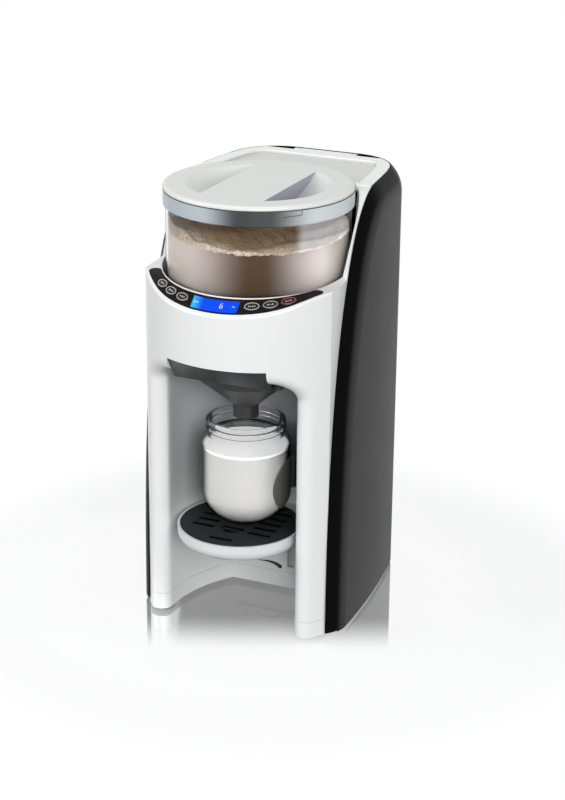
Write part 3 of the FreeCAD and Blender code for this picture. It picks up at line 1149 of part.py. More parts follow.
def make_drip_grid():
    """Slotted disc that drops into the tray, with a finger notch in the middle."""
    low = GRID_TOP_Z - GRID_THICK
    radius = TRAY_RADIUS - TRAY_WALL - FIT_GAP
    disc = rod(radius, low, GRID_TOP_Z, 0, TRAY_Y)
    outer = radius - GRID_SKIRT_INSET
    skirt = tube(outer, outer - GRID_SKIRT_WALL, TRAY_LOW_Z + TRAY_WALL, low + 0.5, 0, TRAY_Y)
    end = GRID_SLOT_WIDTH / 2
    tools = []
    for x, y, length in grid_slots():
        half = length / 2 - end
        bar = block(x - half, x + half, y - end, y + end, 0, FAR)
        tools.append(fuse_all([bar, rod(end, 0, FAR, x - half, y), rod(end, 0, FAR, x + half, y)]))
    notch_y = TRAY_Y - TRAY_RADIUS + FINGER_Y
    notch = rod(FINGER_RADIUS, 0, FAR, 0, notch_y).common(block(-FAR, FAR, notch_y, notch_y + 7, 0, FAR))
    dip = Part.makeSphere(DIP_RADIUS, Vector(0, notch_y, GRID_TOP_Z + DIP_RADIUS - DIP_DEPTH))
    return cut_all(disc.fuse(skirt), tools + [notch, dip]).removeSplitter()


def make_bay_rail():
    """Plate on the bay's back wall with two upright slots for the tray's hooks."""
    plate = block(-RAIL_HALF_WIDTH, RAIL_HALF_WIDTH, BAY_BACK_Y - RAIL_THICK, BAY_BACK_Y,
                  RAIL_BOTTOM_Z, RAIL_TOP_Z)
    plate = plate.makeFillet(5.0, edges_where(plate, lambda e, p: e.Length < RAIL_THICK + 0.1))
    slots = []
    for sign in (-1, 1):
        x = sign * SLOT_X
        slots.append(block(x - SLOT_WIDTH / 2, x + SLOT_WIDTH / 2, 0, FAR, RAIL_BOTTOM_Z + 5, RAIL_TOP_Z - 8))
    return cut_all(plate, slots)


def make_bottle():
    """Wide-neck bottle: rounded base, straight body, rounded shoulder and a ringed neck."""
    z = GRID_TOP_Z + BOTTLE_SEAT
    r, b, n, w = BOTTLE_RADIUS, BOTTLE_BASE_RADIUS, BOTTLE_NECK_RADIUS, BOTTLE_WALL
    s, h, ring = BOTTLE_SHOULDER, BOTTLE_HEIGHT, BOTTLE_RING
    bend_r, bend_z = r - BOTTLE_BASE_ROUND, z + BOTTLE_BASE_ROUND
    out_45, in_45 = BOTTLE_BASE_ROUND * ARC_MIDDLE, (BOTTLE_BASE_ROUND - w) * ARC_MIDDLE
    round_base = ((bend_r + out_45, bend_z - out_45), (r, bend_z))
    outer = [(0, z + 1.0), (b - 6, z + 0.6), (b - 3, z), (b, z), round_base,
             (r, z + s - 8),
             ((r - 1.6, z + s - 3), (r - 5.5, z + s)), (n, z + s + 3), (n, z + s + 4.6),
             ((n + ring, z + s + 6.8), (n, z + s + 9)), (n, z + h - 5.4),
             ((n + ring, z + h - 2.7), (n, z + h))]
    inner = [(n - w, z + h), (n - w, z + s + 2.2), (r - 5.9 - w, z + s - 1.6),
             ((r - 1.9 - w, z + s - 4.6), (r - w, z + s - 8.8)), (r - w, bend_z),
             ((bend_r + in_45, bend_z - in_45), (b, z + w + 0.2)), (0, z + w + 1.0)]
    return turned(outer + inner, 0, FUNNEL_Y)


# ---------------------------------------------------------------- water tank
def tank_footprint(extra, z0, z1):
    """Crescent behind the container, pulled in by extra."""
    body = plan_prism(SHELL_LIP + TANK_GAP + extra, z0, z1)
    body = body.cut(rod(TANK_FRONT_RADIUS + extra, z0 - 1, z1 + 1))
    return body.common(block(-FAR, FAR, HOUSING_BACK_Y + FIT_GAP + extra, FAR, z0 - 1, z1 + 1))


def tank_low():
    """Underside of the tank, on the shelf."""
    return SHELF_Z + SHELF_THICK + FIT_GAP


def tank_high():
    """Top edge of the tank, under its cover."""
    return RIM_HEIGHT - COVER_THICK - FIT_GAP


def make_water_tank():
    """Clear open-topped tank with a spigot below for the valve."""
    low, high = tank_low(), tank_high()
    tank = tank_footprint(0.0, low, high).cut(tank_footprint(TANK_WALL, low + TANK_FLOOR, high + 5))
    spigot = rod(SPIGOT_RADIUS, low - SPIGOT_LENGTH, low + 1, VALVE_X, VALVE_Y)
    pin = make_cover_pin(RUNNING_FIT)
    tank = fuse_all([tank, spigot] + [ear.cut(pin) for ear in hinge_ears(0.0)])
    return tank.cut(rod(VALVE_STEM_RADIUS + 1.2, 0, low + TANK_FLOOR + 1, VALVE_X, VALVE_Y))


def hinge_axis():
    """Y and z of the cover's hinge pin, along X."""
    return BACK_Y - CORE_INSET - 0.3 - HINGE_BARREL_RADIUS, RIM_HEIGHT - HINGE_BARREL_RADIUS - 0.05


def along_x(radius, x0, x1, y, z):
    """Cylinder along X."""
    return Part.makeCylinder(radius, x1 - x0, Vector(x0, y, z), Vector(1, 0, 0))


def hinge_ears(grow):
    """The tank's two ears round the pin, or the notches for them in the cover when grown."""
    y, z = hinge_axis()
    radius = HINGE_BARREL_RADIUS - 0.35 + grow * 1.5
    ears = []
    for middle in (-HINGE_EAR_X, HINGE_EAR_X):
        x0 = middle - HINGE_EAR_WIDTH / 2 - grow
        x1 = middle + HINGE_EAR_WIDTH / 2 + grow
        ears.append(along_x(radius, x0, x1, y, z).fuse(block(x0, x1, y - radius, y + radius, z - 5, z)))
    return ears


def make_cover_pin(grow=0.0):
    """Steel hinge pin of the tank's cover, or the hole for it when grown."""
    y, z = hinge_axis()
    reach = HINGE_EAR_X + HINGE_EAR_WIDTH / 2
    return along_x(HINGE_PIN_RADIUS + grow, -reach - grow, reach + grow, y, z)


def make_tank_valve():
    """Spring-loaded stem with a soft head that closes the tank's outlet."""
    floor = tank_low() + TANK_FLOOR
    stem = VALVE_STEM_RADIUS
    return turned([(0, floor - 9), (stem, floor - 9), (stem, floor + 0.3), (stem + 4, floor + 0.3),
                   (stem + 3, floor + 2.6), (stem - 1, floor + 4), (stem - 1, floor + 14), (0, floor + 14)],
                  VALVE_X, VALVE_Y)


def make_tank_seal():
    """Ring seal round the spigot, seated in the shelf."""
    z = SHELF_Z + SHELF_THICK
    inner, outer = SPIGOT_RADIUS + FIT_GAP, SPIGOT_RADIUS + FIT_GAP + SEAL_WIDTH
    low = z - SEAL_DEPTH
    return turned([(inner, low), (outer, low), (outer, z), (inner, z)], VALVE_X, VALVE_Y)


def make_tank_shelf():
    """Shelf under the tank, on four posts from the base, with the valve seat."""
    shelf = plan_prism(SHELL_WALL + FIT_GAP, SHELF_Z, SHELF_Z + SHELF_THICK)
    shelf = shelf.common(block(-FAR, FAR, HOUSING_BACK_Y + FIT_GAP, FAR, 0, FAR))
    shelf = shelf.cut(rod(TANK_FRONT_RADIUS - 6, 0, FAR))
    posts = [rod(BOSS_RADIUS, BASE_FLOOR_Z, SHELF_Z + 1, x, y) for x, y in shelf_posts()]
    cup = rod(VALVE_CUP_RADIUS, SHELF_Z - 5, SHELF_Z + 1, VALVE_X, VALVE_Y)
    nipple = rod(NIPPLE_RADIUS, SHELF_Z - SHELF_NIPPLE, SHELF_Z - 4, VALVE_X, VALVE_Y)
    z = SHELF_Z + SHELF_THICK
    holes = [rod(SPIGOT_RADIUS + FIT_GAP + SEAL_WIDTH, z - SEAL_DEPTH, FAR, VALVE_X, VALVE_Y),
             rod(SPIGOT_RADIUS + FIT_GAP, z - SPIGOT_LENGTH - 1.5, FAR, VALVE_X, VALVE_Y),
             rod(NOZZLE_BORE, 0, FAR, VALVE_X, VALVE_Y)]
    screw_top = FOOT_HEIGHT + SCREW_LENGTH + 1
    holes += [rod(SCREW_RADIUS + RUNNING_FIT, 0, screw_top, x, y) for x, y in shelf_posts()]
    return cut_all(fuse_all([shelf, cup, nipple] + posts), holes)


def make_tank_cover():
    """White cover over the tank: raised border, sunken middle, hinged at the back."""
    low, high = RIM_HEIGHT - COVER_THICK, RIM_HEIGHT

    def footprint(extra, z0, z1):
        plan = plan_prism(CORE_INSET + 0.2 + extra, z0, z1)
        plan = plan.cut(rod(COVER_FRONT_RADIUS + extra, z0 - 1, z1 + 1))
        return plan.common(block(-FAR, FAR, HOUSING_BACK_Y + FIT_GAP, FAR, z0 - 1, z1 + 1))

    cover = footprint(0.0, low, high)
    sunk = plan_prism(CORE_INSET + COVER_BORDER, high - COVER_SINK, high + 5)
    sunk_back = BACK_Y - CORE_INSET - COVER_BORDER - 9
    sunk = sunk.common(block(-FAR, FAR, HOUSING_BACK_Y + 8, sunk_back, 0, FAR * 2))
    corner = edges_where(sunk, lambda e, p: abs(e.Length - COVER_SINK - 5) < 1e-3 and p.y > 100)
    sunk = sunk.makeFillet(COVER_CORNER, corner)
    hollow = footprint(2.4, low - 1, low + 2.0).cut(block(-FAR, FAR, BACK_Y - 22, BACK_Y, 0, FAR * 2))
    y, z = hinge_axis()
    behind = block(-FAR, FAR, y, BACK_Y, low - 1, high + 1)
    swing = y - 2 * (high - z) - FIT_GAP
    relief = plan_prism(0.0, low - 1, high + 1).cut(plan_prism(CORE_INSET + HINGE_RELIEF, low - 2, high + 2))
    corners = [block(-FAR, -REAR_CORNER_X, swing, BACK_Y, low - 1, high + 1),
               block(REAR_CORNER_X, FAR, swing, BACK_Y, low - 1, high + 1),
               relief.common(block(-FAR, FAR, REAR_CORNER_Y, FAR, low - 1, high + 1))]
    barrel = along_x(HINGE_BARREL_RADIUS, -REAR_CORNER_X, REAR_CORNER_X, y, z)
    reach = HINGE_EAR_X + HINGE_EAR_WIDTH / 2 + 1
    bore = along_x(HINGE_PIN_RADIUS + RUNNING_FIT, -reach, reach, y, z)
    cover = cut_all(cover, [sunk, hollow, behind] + corners).fuse(barrel).removeSplitter()
    return cut_all(cover, hinge_ears(FIT_GAP) + [bore])


# ---------------------------------------------------------------- water works and electrics
def hose(points, bend):
    """Round hose along straight runs joined by arcs."""
    corners = [Vector(*p) for p in points]
    edges = []
    last = corners[0]
    for i in range(1, len(corners) - 1):
        here = corners[i]
        back = (corners[i - 1] - here).normalize()
        ahead = (corners[i + 1] - here).normalize()
        turn = math.pi - back.getAngle(ahead)
        trim = bend * math.tan(turn / 2)
        start = here + back * trim
        end = here + ahead * trim
        inward = (back + ahead).normalize()
        middle = here + inward * (bend / math.cos(turn / 2) - bend)
        edges.append(Part.LineSegment(last, start).toShape())
        edges.append(Part.Arc(start, middle, end).toShape())
        last = end
    edges.append(Part.LineSegment(last, corners[-1]).toShape())
    path = Part.Wire(edges)
    first = (corners[1] - corners[0]).normalize()

    def pipe(radius):
        ring = Part.Wire([Part.makeCircle(radius, corners[0], first)])
        return path.makePipeShell([ring], True, False)

    return pipe(HOSE_RADIUS).cut(pipe(HOSE_BORE))


def make_supply_hose():
    """Straight hose from the shelf's nipple to the pump."""
    return tube(HOSE_RADIUS, HOSE_BORE, pump_top() + 1, SHELF_Z - 6, VALVE_X, VALVE_Y)


def pump_top():
    """Top of the pump's body."""
    return BASE_FLOOR_Z + PUMP_HEIGHT


def make_water_pump():
    """Small pump: can, head and two nipples."""
    low = BASE_FLOOR_Z
    side_z = low + PORT_HEIGHT
    can = rod(PUMP_RADIUS, low, pump_top() - PUMP_HEAD_HEIGHT, PUMP_X, PUMP_Y)
    head = rod(PUMP_RADIUS - 4, pump_top() - PUMP_HEAD_HEIGHT - 1, pump_top(), PUMP_X, PUMP_Y)
    inlet = rod(NIPPLE_RADIUS, pump_top() - 1, pump_top() + 12, PUMP_X, PUMP_Y)
    outlet = Part.makeCylinder(NIPPLE_RADIUS, PUMP_RADIUS + NIPPLE_LENGTH, Vector(PUMP_X, PUMP_Y, side_z),
                               Vector(1, 0, 0))
    return fuse_all([can, head, inlet, outlet])


def make_heater():
    """Upright through-flow heater with nipples at the bottom and top."""
    low = BASE_FLOOR_Z
    side_z = low + PORT_HEIGHT
    barrel = rod(HEATER_RADIUS, low, HEATER_TOP_Z, HEATER_X, HEATER_Y)
    band_low = low + HEATER_BAND_Z
    band = rod(HEATER_RADIUS + 1.5, band_low, band_low + HEATER_BAND_HEIGHT, HEATER_X, HEATER_Y)
    inlet = Part.makeCylinder(NIPPLE_RADIUS, HEATER_RADIUS + NIPPLE_LENGTH,
                              Vector(HEATER_X, HEATER_Y, side_z), Vector(0, 1, 0))
    outlet = rod(NIPPLE_RADIUS, HEATER_TOP_Z - 1, HEATER_TOP_Z + NIPPLE_LENGTH, HEATER_X, HEATER_Y)
    return fuse_all([barrel, band, inlet, outlet])


def make_pump_hose():
    """Hose from the pump round to the heater."""
    z = BASE_FLOOR_Z + PORT_HEIGHT
    return hose([(PUMP_X + PUMP_RADIUS + 1, PUMP_Y, z), (HEATER_X, PUMP_Y, z),
                 (HEATER_X, HEATER_Y + HEATER_RADIUS + 1, z)], HOSE_BEND)


def make_hot_hose():
    """Hose from the heater up over the bay and down to the nozzle."""
    over = BAY_CEILING_Z + HOUSING_WALL + HOT_HOSE_RISE
    low = BAY_CEILING_Z + HOUSING_WALL + 2.2
    return hose([(HEATER_X, HEATER_Y, HEATER_TOP_Z + 0.5), (HEATER_X, HEATER_Y, over),
                 (HEATER_X, NOZZLE_Y, over), (HEATER_X, NOZZLE_Y, low)], HOT_HOSE_BEND)


def make_power_board():
    """Power board standing in a rail on the base."""
    low = BASE_FLOOR_Z
    x, back = POWER_X, BACK_Y - POWER_REACH
    board = block(x, x + BOARD_THICK, back - POWER_LENGTH, back, low, low + POWER_HEIGHT)
    rail = block(x - 3, x + 5, back - POWER_LENGTH + 4, back - 4, low, low + 5)
    can_y = back - CAN_REACH
    can = rod(CAN_RADIUS, low + CAN_RISE, low + CAN_RISE + CAN_HEIGHT, x - CAN_RADIUS - 1, can_y)
    coil_back = back - COIL_REACH
    coil_low = low + CAN_RISE + COIL_LENGTH
    coil = block(x - COIL_DEPTH, x + 0.5, coil_back - COIL_LENGTH, coil_back,
                 coil_low, coil_low + COIL_HEIGHT)
    link_low = low + CAN_RISE + CAN_HEIGHT / 2 - LINK_WIDTH
    link = block(x - CAN_RADIUS - 1, x + 0.5, can_y - LINK_WIDTH / 2, can_y + LINK_WIDTH / 2,
                 link_low, link_low + 1.5 * LINK_WIDTH)
    return fuse_all([board, rail, can, coil, link])


# ---------------------------------------------------------------- write out
def named_parts():
    """Every sub-part by node name."""
    parts = {
        "side_shell": make_side_shell(),
        "front_housing": make_front_housing(),
        "base_ring": make_base_ring(),
        "base_screws": make_base_screws(),
        "rubber_feet": make_rubber_feet(),
        "cord_bush": make_cord_bush(),
        "control_panel": make_control_panel(),
        "display_window": make_display_window(),
        "control_board": make_control_board(),
        "powder_container": make_powder_container(),
        "container_collar": make_container_collar(),
        "container_lid": make_container_lid(),
        "lid_seal": make_lid_seal(),
        "dosing_wheel": make_dosing_wheel(),
        "stir_paddle": make_stir_paddle(),
        "drive_gear": make_drive_gear(),
        "drive_shaft": make_drive_shaft(),
        "idler_gear": make_idler_gear(),
        "motor_pinion": make_motor_pinion(),
        "gear_plate": make_gear_plate(),
        "gear_motor": make_gear_motor(),
        "powder_chute": make_powder_chute(),
        "mixing_funnel": make_mixing_funnel(),
        "funnel_runners": make_funnel_runners(),
        "water_nozzle": make_water_nozzle(),
        "drip_tray": make_drip_tray(),
        "drip_grid": make_drip_grid(),
        "bay_rail": make_bay_rail(),
        "bottle": make_bottle(),
        "water_tank": make_water_tank(),
        "tank_valve": make_tank_valve(),
        "tank_seal": make_tank_seal(),
        "tank_shelf": make_tank_shelf(),
        "tank_cover": make_tank_cover(),
        "cover_pin": make_cover_pin(),
        "supply_hose": make_supply_hose(),
        "water_pump": make_water_pump(),
        "heater": make_heater(),
        "pump_hose": make_pump_hose(),
        "hot_hose": make_hot_hose(),
        "power_board": make_power_board(),
    }
    for number, angle in enumerate(BUTTON_ANGLES, start=1):
        parts["button_%d" % number] = button_shape(angle)
    return parts


def main():
    """Build each sub-part, move it to the footprint's centre and write its STEP file."""
    os.makedirs("parts", exist_ok=True)
    for name, shape in named_parts().items():
        shape.translate(Vector(0, AXIS_Y, 0))
        box = shape.BoundBox
        corners = (box.XMin, box.XMax, box.YMin, box.YMax, box.ZMin, box.ZMax)
        print("%-18s solids %d valid %s x %.1f %.1f y %.1f %.1f z %.1f %.1f volume %.0f" % (
            (name, len(shape.Solids), shape.isValid()) + corners + (shape.Volume,)))
        shape.exportStep("parts/%s.step" % name)


main()
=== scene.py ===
import logging
import math
from dataclasses import dataclass, field
from enum import Enum
from typing import Dict, List, Optional, Sequence, Tuple

import bmesh
import bpy
import numpy as np
from mathutils import Matrix, Vector


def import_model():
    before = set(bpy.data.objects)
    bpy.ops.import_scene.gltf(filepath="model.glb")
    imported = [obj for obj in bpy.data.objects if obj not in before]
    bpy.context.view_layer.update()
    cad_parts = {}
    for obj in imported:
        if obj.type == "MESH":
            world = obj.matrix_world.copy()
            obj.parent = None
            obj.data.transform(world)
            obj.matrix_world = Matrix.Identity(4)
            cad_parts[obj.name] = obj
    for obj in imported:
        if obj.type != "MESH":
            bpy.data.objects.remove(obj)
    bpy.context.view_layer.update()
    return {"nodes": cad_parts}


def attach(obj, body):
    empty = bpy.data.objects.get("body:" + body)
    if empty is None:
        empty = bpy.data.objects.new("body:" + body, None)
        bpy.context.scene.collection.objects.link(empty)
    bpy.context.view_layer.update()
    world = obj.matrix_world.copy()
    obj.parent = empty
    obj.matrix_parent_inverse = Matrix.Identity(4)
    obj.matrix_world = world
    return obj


LOG = logging.getLogger("formula_maker")
Colour = Tuple[float, float, float]
Pair = Tuple[float, float]
Place = Tuple[float, float, float]
Axes = Tuple[np.ndarray, np.ndarray, np.ndarray]
Socket = bpy.types.NodeSocket
MM = 0.001
AXIS_Y = -34.0            # the powder drum's upright axis, in mm from the middle of the footprint


class Body(Enum):
    """Bodies that a piece can ride on."""

    MACHINE = "machine"
    DRUM = "powder_container"
    BOTTLE = "bottle"


# ---------------------------------------------------------------- node building
class Nodes:
    """Adds and links nodes in one tree."""

    def __init__(self, tree: bpy.types.NodeTree) -> None:
        """Start on a tree.

        Args:
            tree: The node tree to add to.
        """
        self.tree = tree

    def add(self, kind: str, inputs: Optional[Dict[object, object]] = None,
            **settings: object) -> bpy.types.Node:
        """Add a node.

        Args:
            kind: The node's type name.
            inputs: Values, or sockets to link from, by input name or index.
            settings: Properties of the node itself.

        Returns:
            The new node.
        """
        node = self.tree.nodes.new(kind)
        for key, value in settings.items():
            setattr(node, key, value)
        for key, value in (inputs or {}).items():
            self.put(node.inputs[key], value)
        return node

    def put(self, socket: Socket, value: object) -> None:
        """Set a socket, or link into it.

        Args:
            socket: The input.
            value: A number, tuple or output socket.
        """
        if isinstance(value, Socket):
            self.tree.links.new(value, socket)
        elif isinstance(value, tuple) and len(value) == 3 and len(socket.default_value) == 4:
            socket.default_value = (*value, 1.0)
        else:
            socket.default_value = value

    def math(self, operation: str, *values: object) -> Socket:
        """Add a Math node.

        Args:
            operation: Its operation.
            values: Its inputs, in order.

        Returns:
            Its output.
        """
        node = self.tree.nodes.new("ShaderNodeMath")
        node.operation = operation
        for socket, value in zip(node.inputs, values):
            self.put(socket, value)
        return node.outputs[0]

    def product(self, *values: object) -> Socket:
        """Multiply values together.

        Args:
            values: Two or more numbers or sockets.

        Returns:
            Their product.
        """
        result = values[0]
        for value in values[1:]:
            result = self.math("MULTIPLY", result, value)
        return result

    def distance(self, x: Socket, y: Socket) -> Socket:
        """Length of a flat vector, sqrt(x^2 + y^2).

        Args:
            x: Its first part.
            y: Its second part.

        Returns:
            The length.
        """
        return self.math("SQRT", self.math("ADD", self.product(x, x), self.product(y, y)))

    def coordinates(self, output: str = "Object") -> Tuple[Socket, Socket, Socket]:
        """Parts of a texture coordinate.

        Args:
            output: "Object" for the place in metres, "Normal" for the way the surface faces, "Generated"
                for the way a ray of the world goes.

        Returns:
            Its x, y and z.
        """
        place = self.add("ShaderNodeTexCoord").outputs[output]
        parts = self.add("ShaderNodeSeparateXYZ", {0: place})
        return parts.outputs[0], parts.outputs[1], parts.outputs[2]

    def span(self, value: Socket, start: float, end: float, low: float = 0.0, high: float = 1.0) -> Socket:
        """Ease a value from low to high as it runs from start to end.

        Args:
            value: What is followed.
            start: Where the change starts.
            end: Where it ends.
            low: Result at the start.
            high: Result at the end.

        Returns:
            The eased value.
        """
        node = self.add("ShaderNodeMapRange", {0: value, 1: start, 2: end, 3: low, 4: high},
                        interpolation_type="SMOOTHSTEP")
        return node.outputs[0]

    def mix(self, share: object, first: object, second: object) -> Socket:
        """Mix two colours.

        Args:
            share: Share of the second colour.
            first: The first colour.
            second: The second colour.

        Returns:
            The mixed colour.
        """
        node = self.tree.nodes.new("ShaderNodeMix")
        node.data_type = "RGBA"
        self.put(node.inputs[0], share)
        self.put(node.inputs[6], first)
        self.put(node.inputs[7], second)
        return node.outputs[2]


class Groups:
    """Shader node groups that several finishes share, each built once."""

    _made: Dict[str, bpy.types.NodeTree] = {}

    @classmethod
    def _start(cls, name: str, inputs: Sequence[Tuple[str, str, object]], outputs: Sequence[Tuple[str, str]]
               ) -> Tuple[bpy.types.NodeTree, Nodes, bpy.types.Node, bpy.types.Node]:
        """Make an empty group with its sockets.

        Args:
            name: The group's name.
            inputs: Name, socket type and default of each input.
            outputs: Name and socket type of each output.

        Returns:
            The tree, its node builder and its input and output nodes.
        """
        tree = bpy.data.node_groups.new(name, "ShaderNodeTree")
        for label, kind, default in inputs:
            socket = tree.interface.new_socket(name=label, in_out="INPUT", socket_type=kind)
            socket.default_value = (*default, 1.0) if isinstance(default, tuple) else default
        for label, kind in outputs:
            tree.interface.new_socket(name=label, in_out="OUTPUT", socket_type=kind)
        cls._made[name] = tree
        return tree, Nodes(tree), tree.nodes.new("NodeGroupInput"), tree.nodes.new("NodeGroupOutput")

    @classmethod
    def grain(cls) -> bpy.types.NodeTree:
        """Moulded grain: broad colour drift, fine mottling and a fine height, from object coordinates.

        Returns:
            The group.
        """
        if "moulded_grain" in cls._made:
            return cls._made["moulded_grain"]
        tree, nodes, given, result = cls._start(
            "moulded_grain",
            [("Colour", "NodeSocketColor", (0.8, 0.8, 0.8)), ("Drift", "NodeSocketFloat", 0.02),
             ("Roughness", "NodeSocketFloat", 0.35), ("Spread", "NodeSocketFloat", 0.05),
             ("Scale", "NodeSocketFloat", 1400.0)],
            [("Colour", "NodeSocketColor"), ("Roughness", "NodeSocketFloat"), ("Height", "NodeSocketFloat")])
        place = nodes.add("ShaderNodeTexCoord").outputs["Object"]
        scale = given.outputs["Scale"]
        fine = nodes.add("ShaderNodeTexNoise", {"Vector": place, "Scale": scale, "Detail": 2.0})
        broad = nodes.add("ShaderNodeTexNoise", {"Vector": place, "Scale": 22.0, "Detail": 3.0})
        mottle = nodes.math("ADD", nodes.product(fine.outputs[0], 0.4), nodes.product(broad.outputs[0], 0.6))
        swing = nodes.product(nodes.math("SUBTRACT", mottle, 0.5), given.outputs["Drift"])
        level = nodes.math("ADD", nodes.product(swing, 2.0), 1.0)
        shade = nodes.add("ShaderNodeVectorMath", {0: given.outputs["Colour"]}, operation="SCALE")
        nodes.put(shade.inputs["Scale"], level)
        spread = nodes.product(nodes.math("SUBTRACT", broad.outputs[0], 0.5), given.outputs["Spread"])
        nodes.put(result.inputs["Colour"], shade.outputs[0])
        nodes.put(result.inputs["Roughness"], nodes.math("ADD", given.outputs["Roughness"], spread))
        nodes.put(result.inputs["Height"], fine.outputs[0])
        return tree

    @classmethod
    def brushed(cls) -> bpy.types.NodeTree:
        """Fine lines round the upright axis, as on turned or drawn steel.

        Returns:
            The group.
        """
        if "drawn_lines" in cls._made:
            return cls._made["drawn_lines"]
        tree, nodes, given, result = cls._start(
            "drawn_lines",
            [("Colour", "NodeSocketColor", (0.6, 0.6, 0.6)), ("Drift", "NodeSocketFloat", 0.1),
             ("Roughness", "NodeSocketFloat", 0.3)],
            [("Colour", "NodeSocketColor"), ("Roughness", "NodeSocketFloat"), ("Height", "NodeSocketFloat")])
        place = nodes.add("ShaderNodeTexCoord").outputs["Object"]
        stretched = nodes.add("ShaderNodeMapping", {"Vector": place, "Scale": (60.0, 60.0, 2600.0)})
        lines = nodes.add("ShaderNodeTexNoise", {"Vector": stretched.outputs[0], "Scale": 1.0, "Detail": 3.0})
        swing = nodes.product(nodes.math("SUBTRACT", lines.outputs[0], 0.5), given.outputs["Drift"])
        shade = nodes.add("ShaderNodeVectorMath", {0: given.outputs["Colour"]}, operation="SCALE")
        nodes.put(shade.inputs["Scale"], nodes.math("ADD", swing, 1.0))
        nodes.put(result.inputs["Colour"], shade.outputs[0])
        nodes.put(result.inputs["Roughness"], nodes.math("ADD", given.outputs["Roughness"], swing))
        nodes.put(result.inputs["Height"], lines.outputs[0])
        return tree

    @classmethod
    def crumbs(cls) -> bpy.types.NodeTree:
        """Powder and granules: cell mottling between a light and a dark crumb colour.

        Returns:
            The group.
        """
        if "crumb_cells" in cls._made:
            return cls._made["crumb_cells"]
        tree, nodes, given, result = cls._start(
            "crumb_cells",
            [("Light", "NodeSocketColor", (0.8, 0.7, 0.6)), ("Dark", "NodeSocketColor", (0.4, 0.3, 0.2)),
             ("Scale", "NodeSocketFloat", 600.0)],
            [("Colour", "NodeSocketColor"), ("Height", "NodeSocketFloat")])
        place = nodes.add("ShaderNodeTexCoord").outputs["Object"]
        cells = nodes.add("ShaderNodeTexVoronoi", {"Vector": place, "Scale": given.outputs["Scale"]})
        drift = nodes.add("ShaderNodeTexNoise", {"Vector": place, "Scale": 90.0, "Detail": 4.0})
        pick = nodes.add("ShaderNodeSeparateColor", {0: cells.outputs["Color"]})
        share = nodes.math("ADD", nodes.product(pick.outputs[0], 0.6), nodes.product(drift.outputs[0], 0.4))
        nodes.put(result.inputs["Colour"], nodes.mix(share, given.outputs["Dark"], given.outputs["Light"]))
        nodes.put(result.inputs["Height"], nodes.math("SUBTRACT", 1.0, cells.outputs["Distance"]))
        return tree


def drum_angle(nodes: Nodes) -> Tuple[Socket, Socket]:
    """Angle round the drum's axis from the front, in radians, and the height, from object coordinates.

    Args:
        nodes: The material's node builder.

    Returns:
        The angle and the height.
    """
    x, y, height = nodes.coordinates()
    forward = nodes.product(nodes.math("SUBTRACT", y, AXIS_Y * MM), -1.0)
    return nodes.math("ARCTAN2", x, forward), height


def drum_plan(nodes: Nodes) -> Tuple[Socket, Socket]:
    """Place seen from above, measured from the drum's axis, from object coordinates.

    Args:
        nodes: The material's node builder.

    Returns:
        The x and the y from the axis.
    """
    x, y, _ = nodes.coordinates()
    return x, nodes.math("SUBTRACT", y, AXIS_Y * MM)


def use_group(nodes: Nodes, tree: bpy.types.NodeTree, **values: object) -> bpy.types.Node:
    """Place a shared group in a material.

    Args:
        nodes: The material's node builder.
        tree: The group.
        values: Its inputs by name.

    Returns:
        The group node.
    """
    node = nodes.tree.nodes.new("ShaderNodeGroup")
    node.node_tree = tree
    for key, value in values.items():
        nodes.put(node.inputs[key], value)
    return node


def new_material(name: str) -> Tuple[bpy.types.Material, Nodes, bpy.types.Node]:
    """Make a material with its surface shader.

    Args:
        name: The material's name.

    Returns:
        The material, its node builder and its Principled shader.
    """
    material = bpy.data.materials.new(name)
    material.use_nodes = True
    nodes = Nodes(material.node_tree)
    return material, nodes, material.node_tree.nodes["Principled BSDF"]


def bumped(nodes: Nodes, shader: bpy.types.Node, height: Socket, depth: float) -> None:
    """Give a shader a bump from a height.

    Args:
        nodes: The material's node builder.
        shader: The shader.
        height: The height, 0 to 1.
        depth: Its depth in metres.
    """
    bump = nodes.add("ShaderNodeBump", {"Height": height, "Distance": depth})
    nodes.put(shader.inputs["Normal"], bump.outputs[0])


def laid_on(nodes: Nodes, shader: bpy.types.Node, group: bpy.types.Node, depth: float = 0.0) -> None:
    """Feed a shared group's colour, roughness and height into a shader.

    Args:
        nodes: The material's node builder.
        shader: The shader.
        group: The group node.
        depth: Depth of its bump in metres; none at 0.
    """
    nodes.put(shader.inputs["Base Color"], group.outputs["Colour"])
    nodes.put(shader.inputs["Roughness"], group.outputs["Roughness"])
    if depth > 0.0:
        bumped(nodes, shader, group.outputs["Height"], depth)


def grained(nodes: Nodes, shader: bpy.types.Node, colour: object, roughness: float, drift: float,
            spread: float = 0.05, scale: float = 1500.0, depth: float = 0.0) -> None:
    """Cover a shader with moulded grain.

    Args:
        nodes: The material's node builder.
        shader: The shader.
        colour: The plastic's colour.
        roughness: Its roughness.
        drift: How far the colour drifts.
        spread: How far the roughness drifts.
        scale: Fineness of the grain.
        depth: Depth of its bump in metres; none at 0.
    """
    grain = use_group(nodes, Groups.grain(), Colour=colour, Drift=drift, Roughness=roughness, Spread=spread,
                      Scale=scale)
    laid_on(nodes, shader, grain, depth)


# ---------------------------------------------------------------- finishes
@dataclass(frozen=True)
class Moulded:
    """Injection-moulded plastic or rubber with a faint grain."""

    name: str
    colour: Colour
    roughness: float = 0.32
    drift: float = 0.015
    spread: float = 0.06
    depth: float = 0.00001
    scale: float = 1400.0
    specular: float = 0.5

    def material(self) -> bpy.types.Material:
        """Build the material.

        Returns:
            The material.
        """
        material, nodes, shader = new_material(self.name)
        grained(nodes, shader, self.colour, self.roughness, self.drift, self.spread, self.scale, self.depth)
        shader.inputs["Specular IOR Level"].default_value = self.specular
        return material


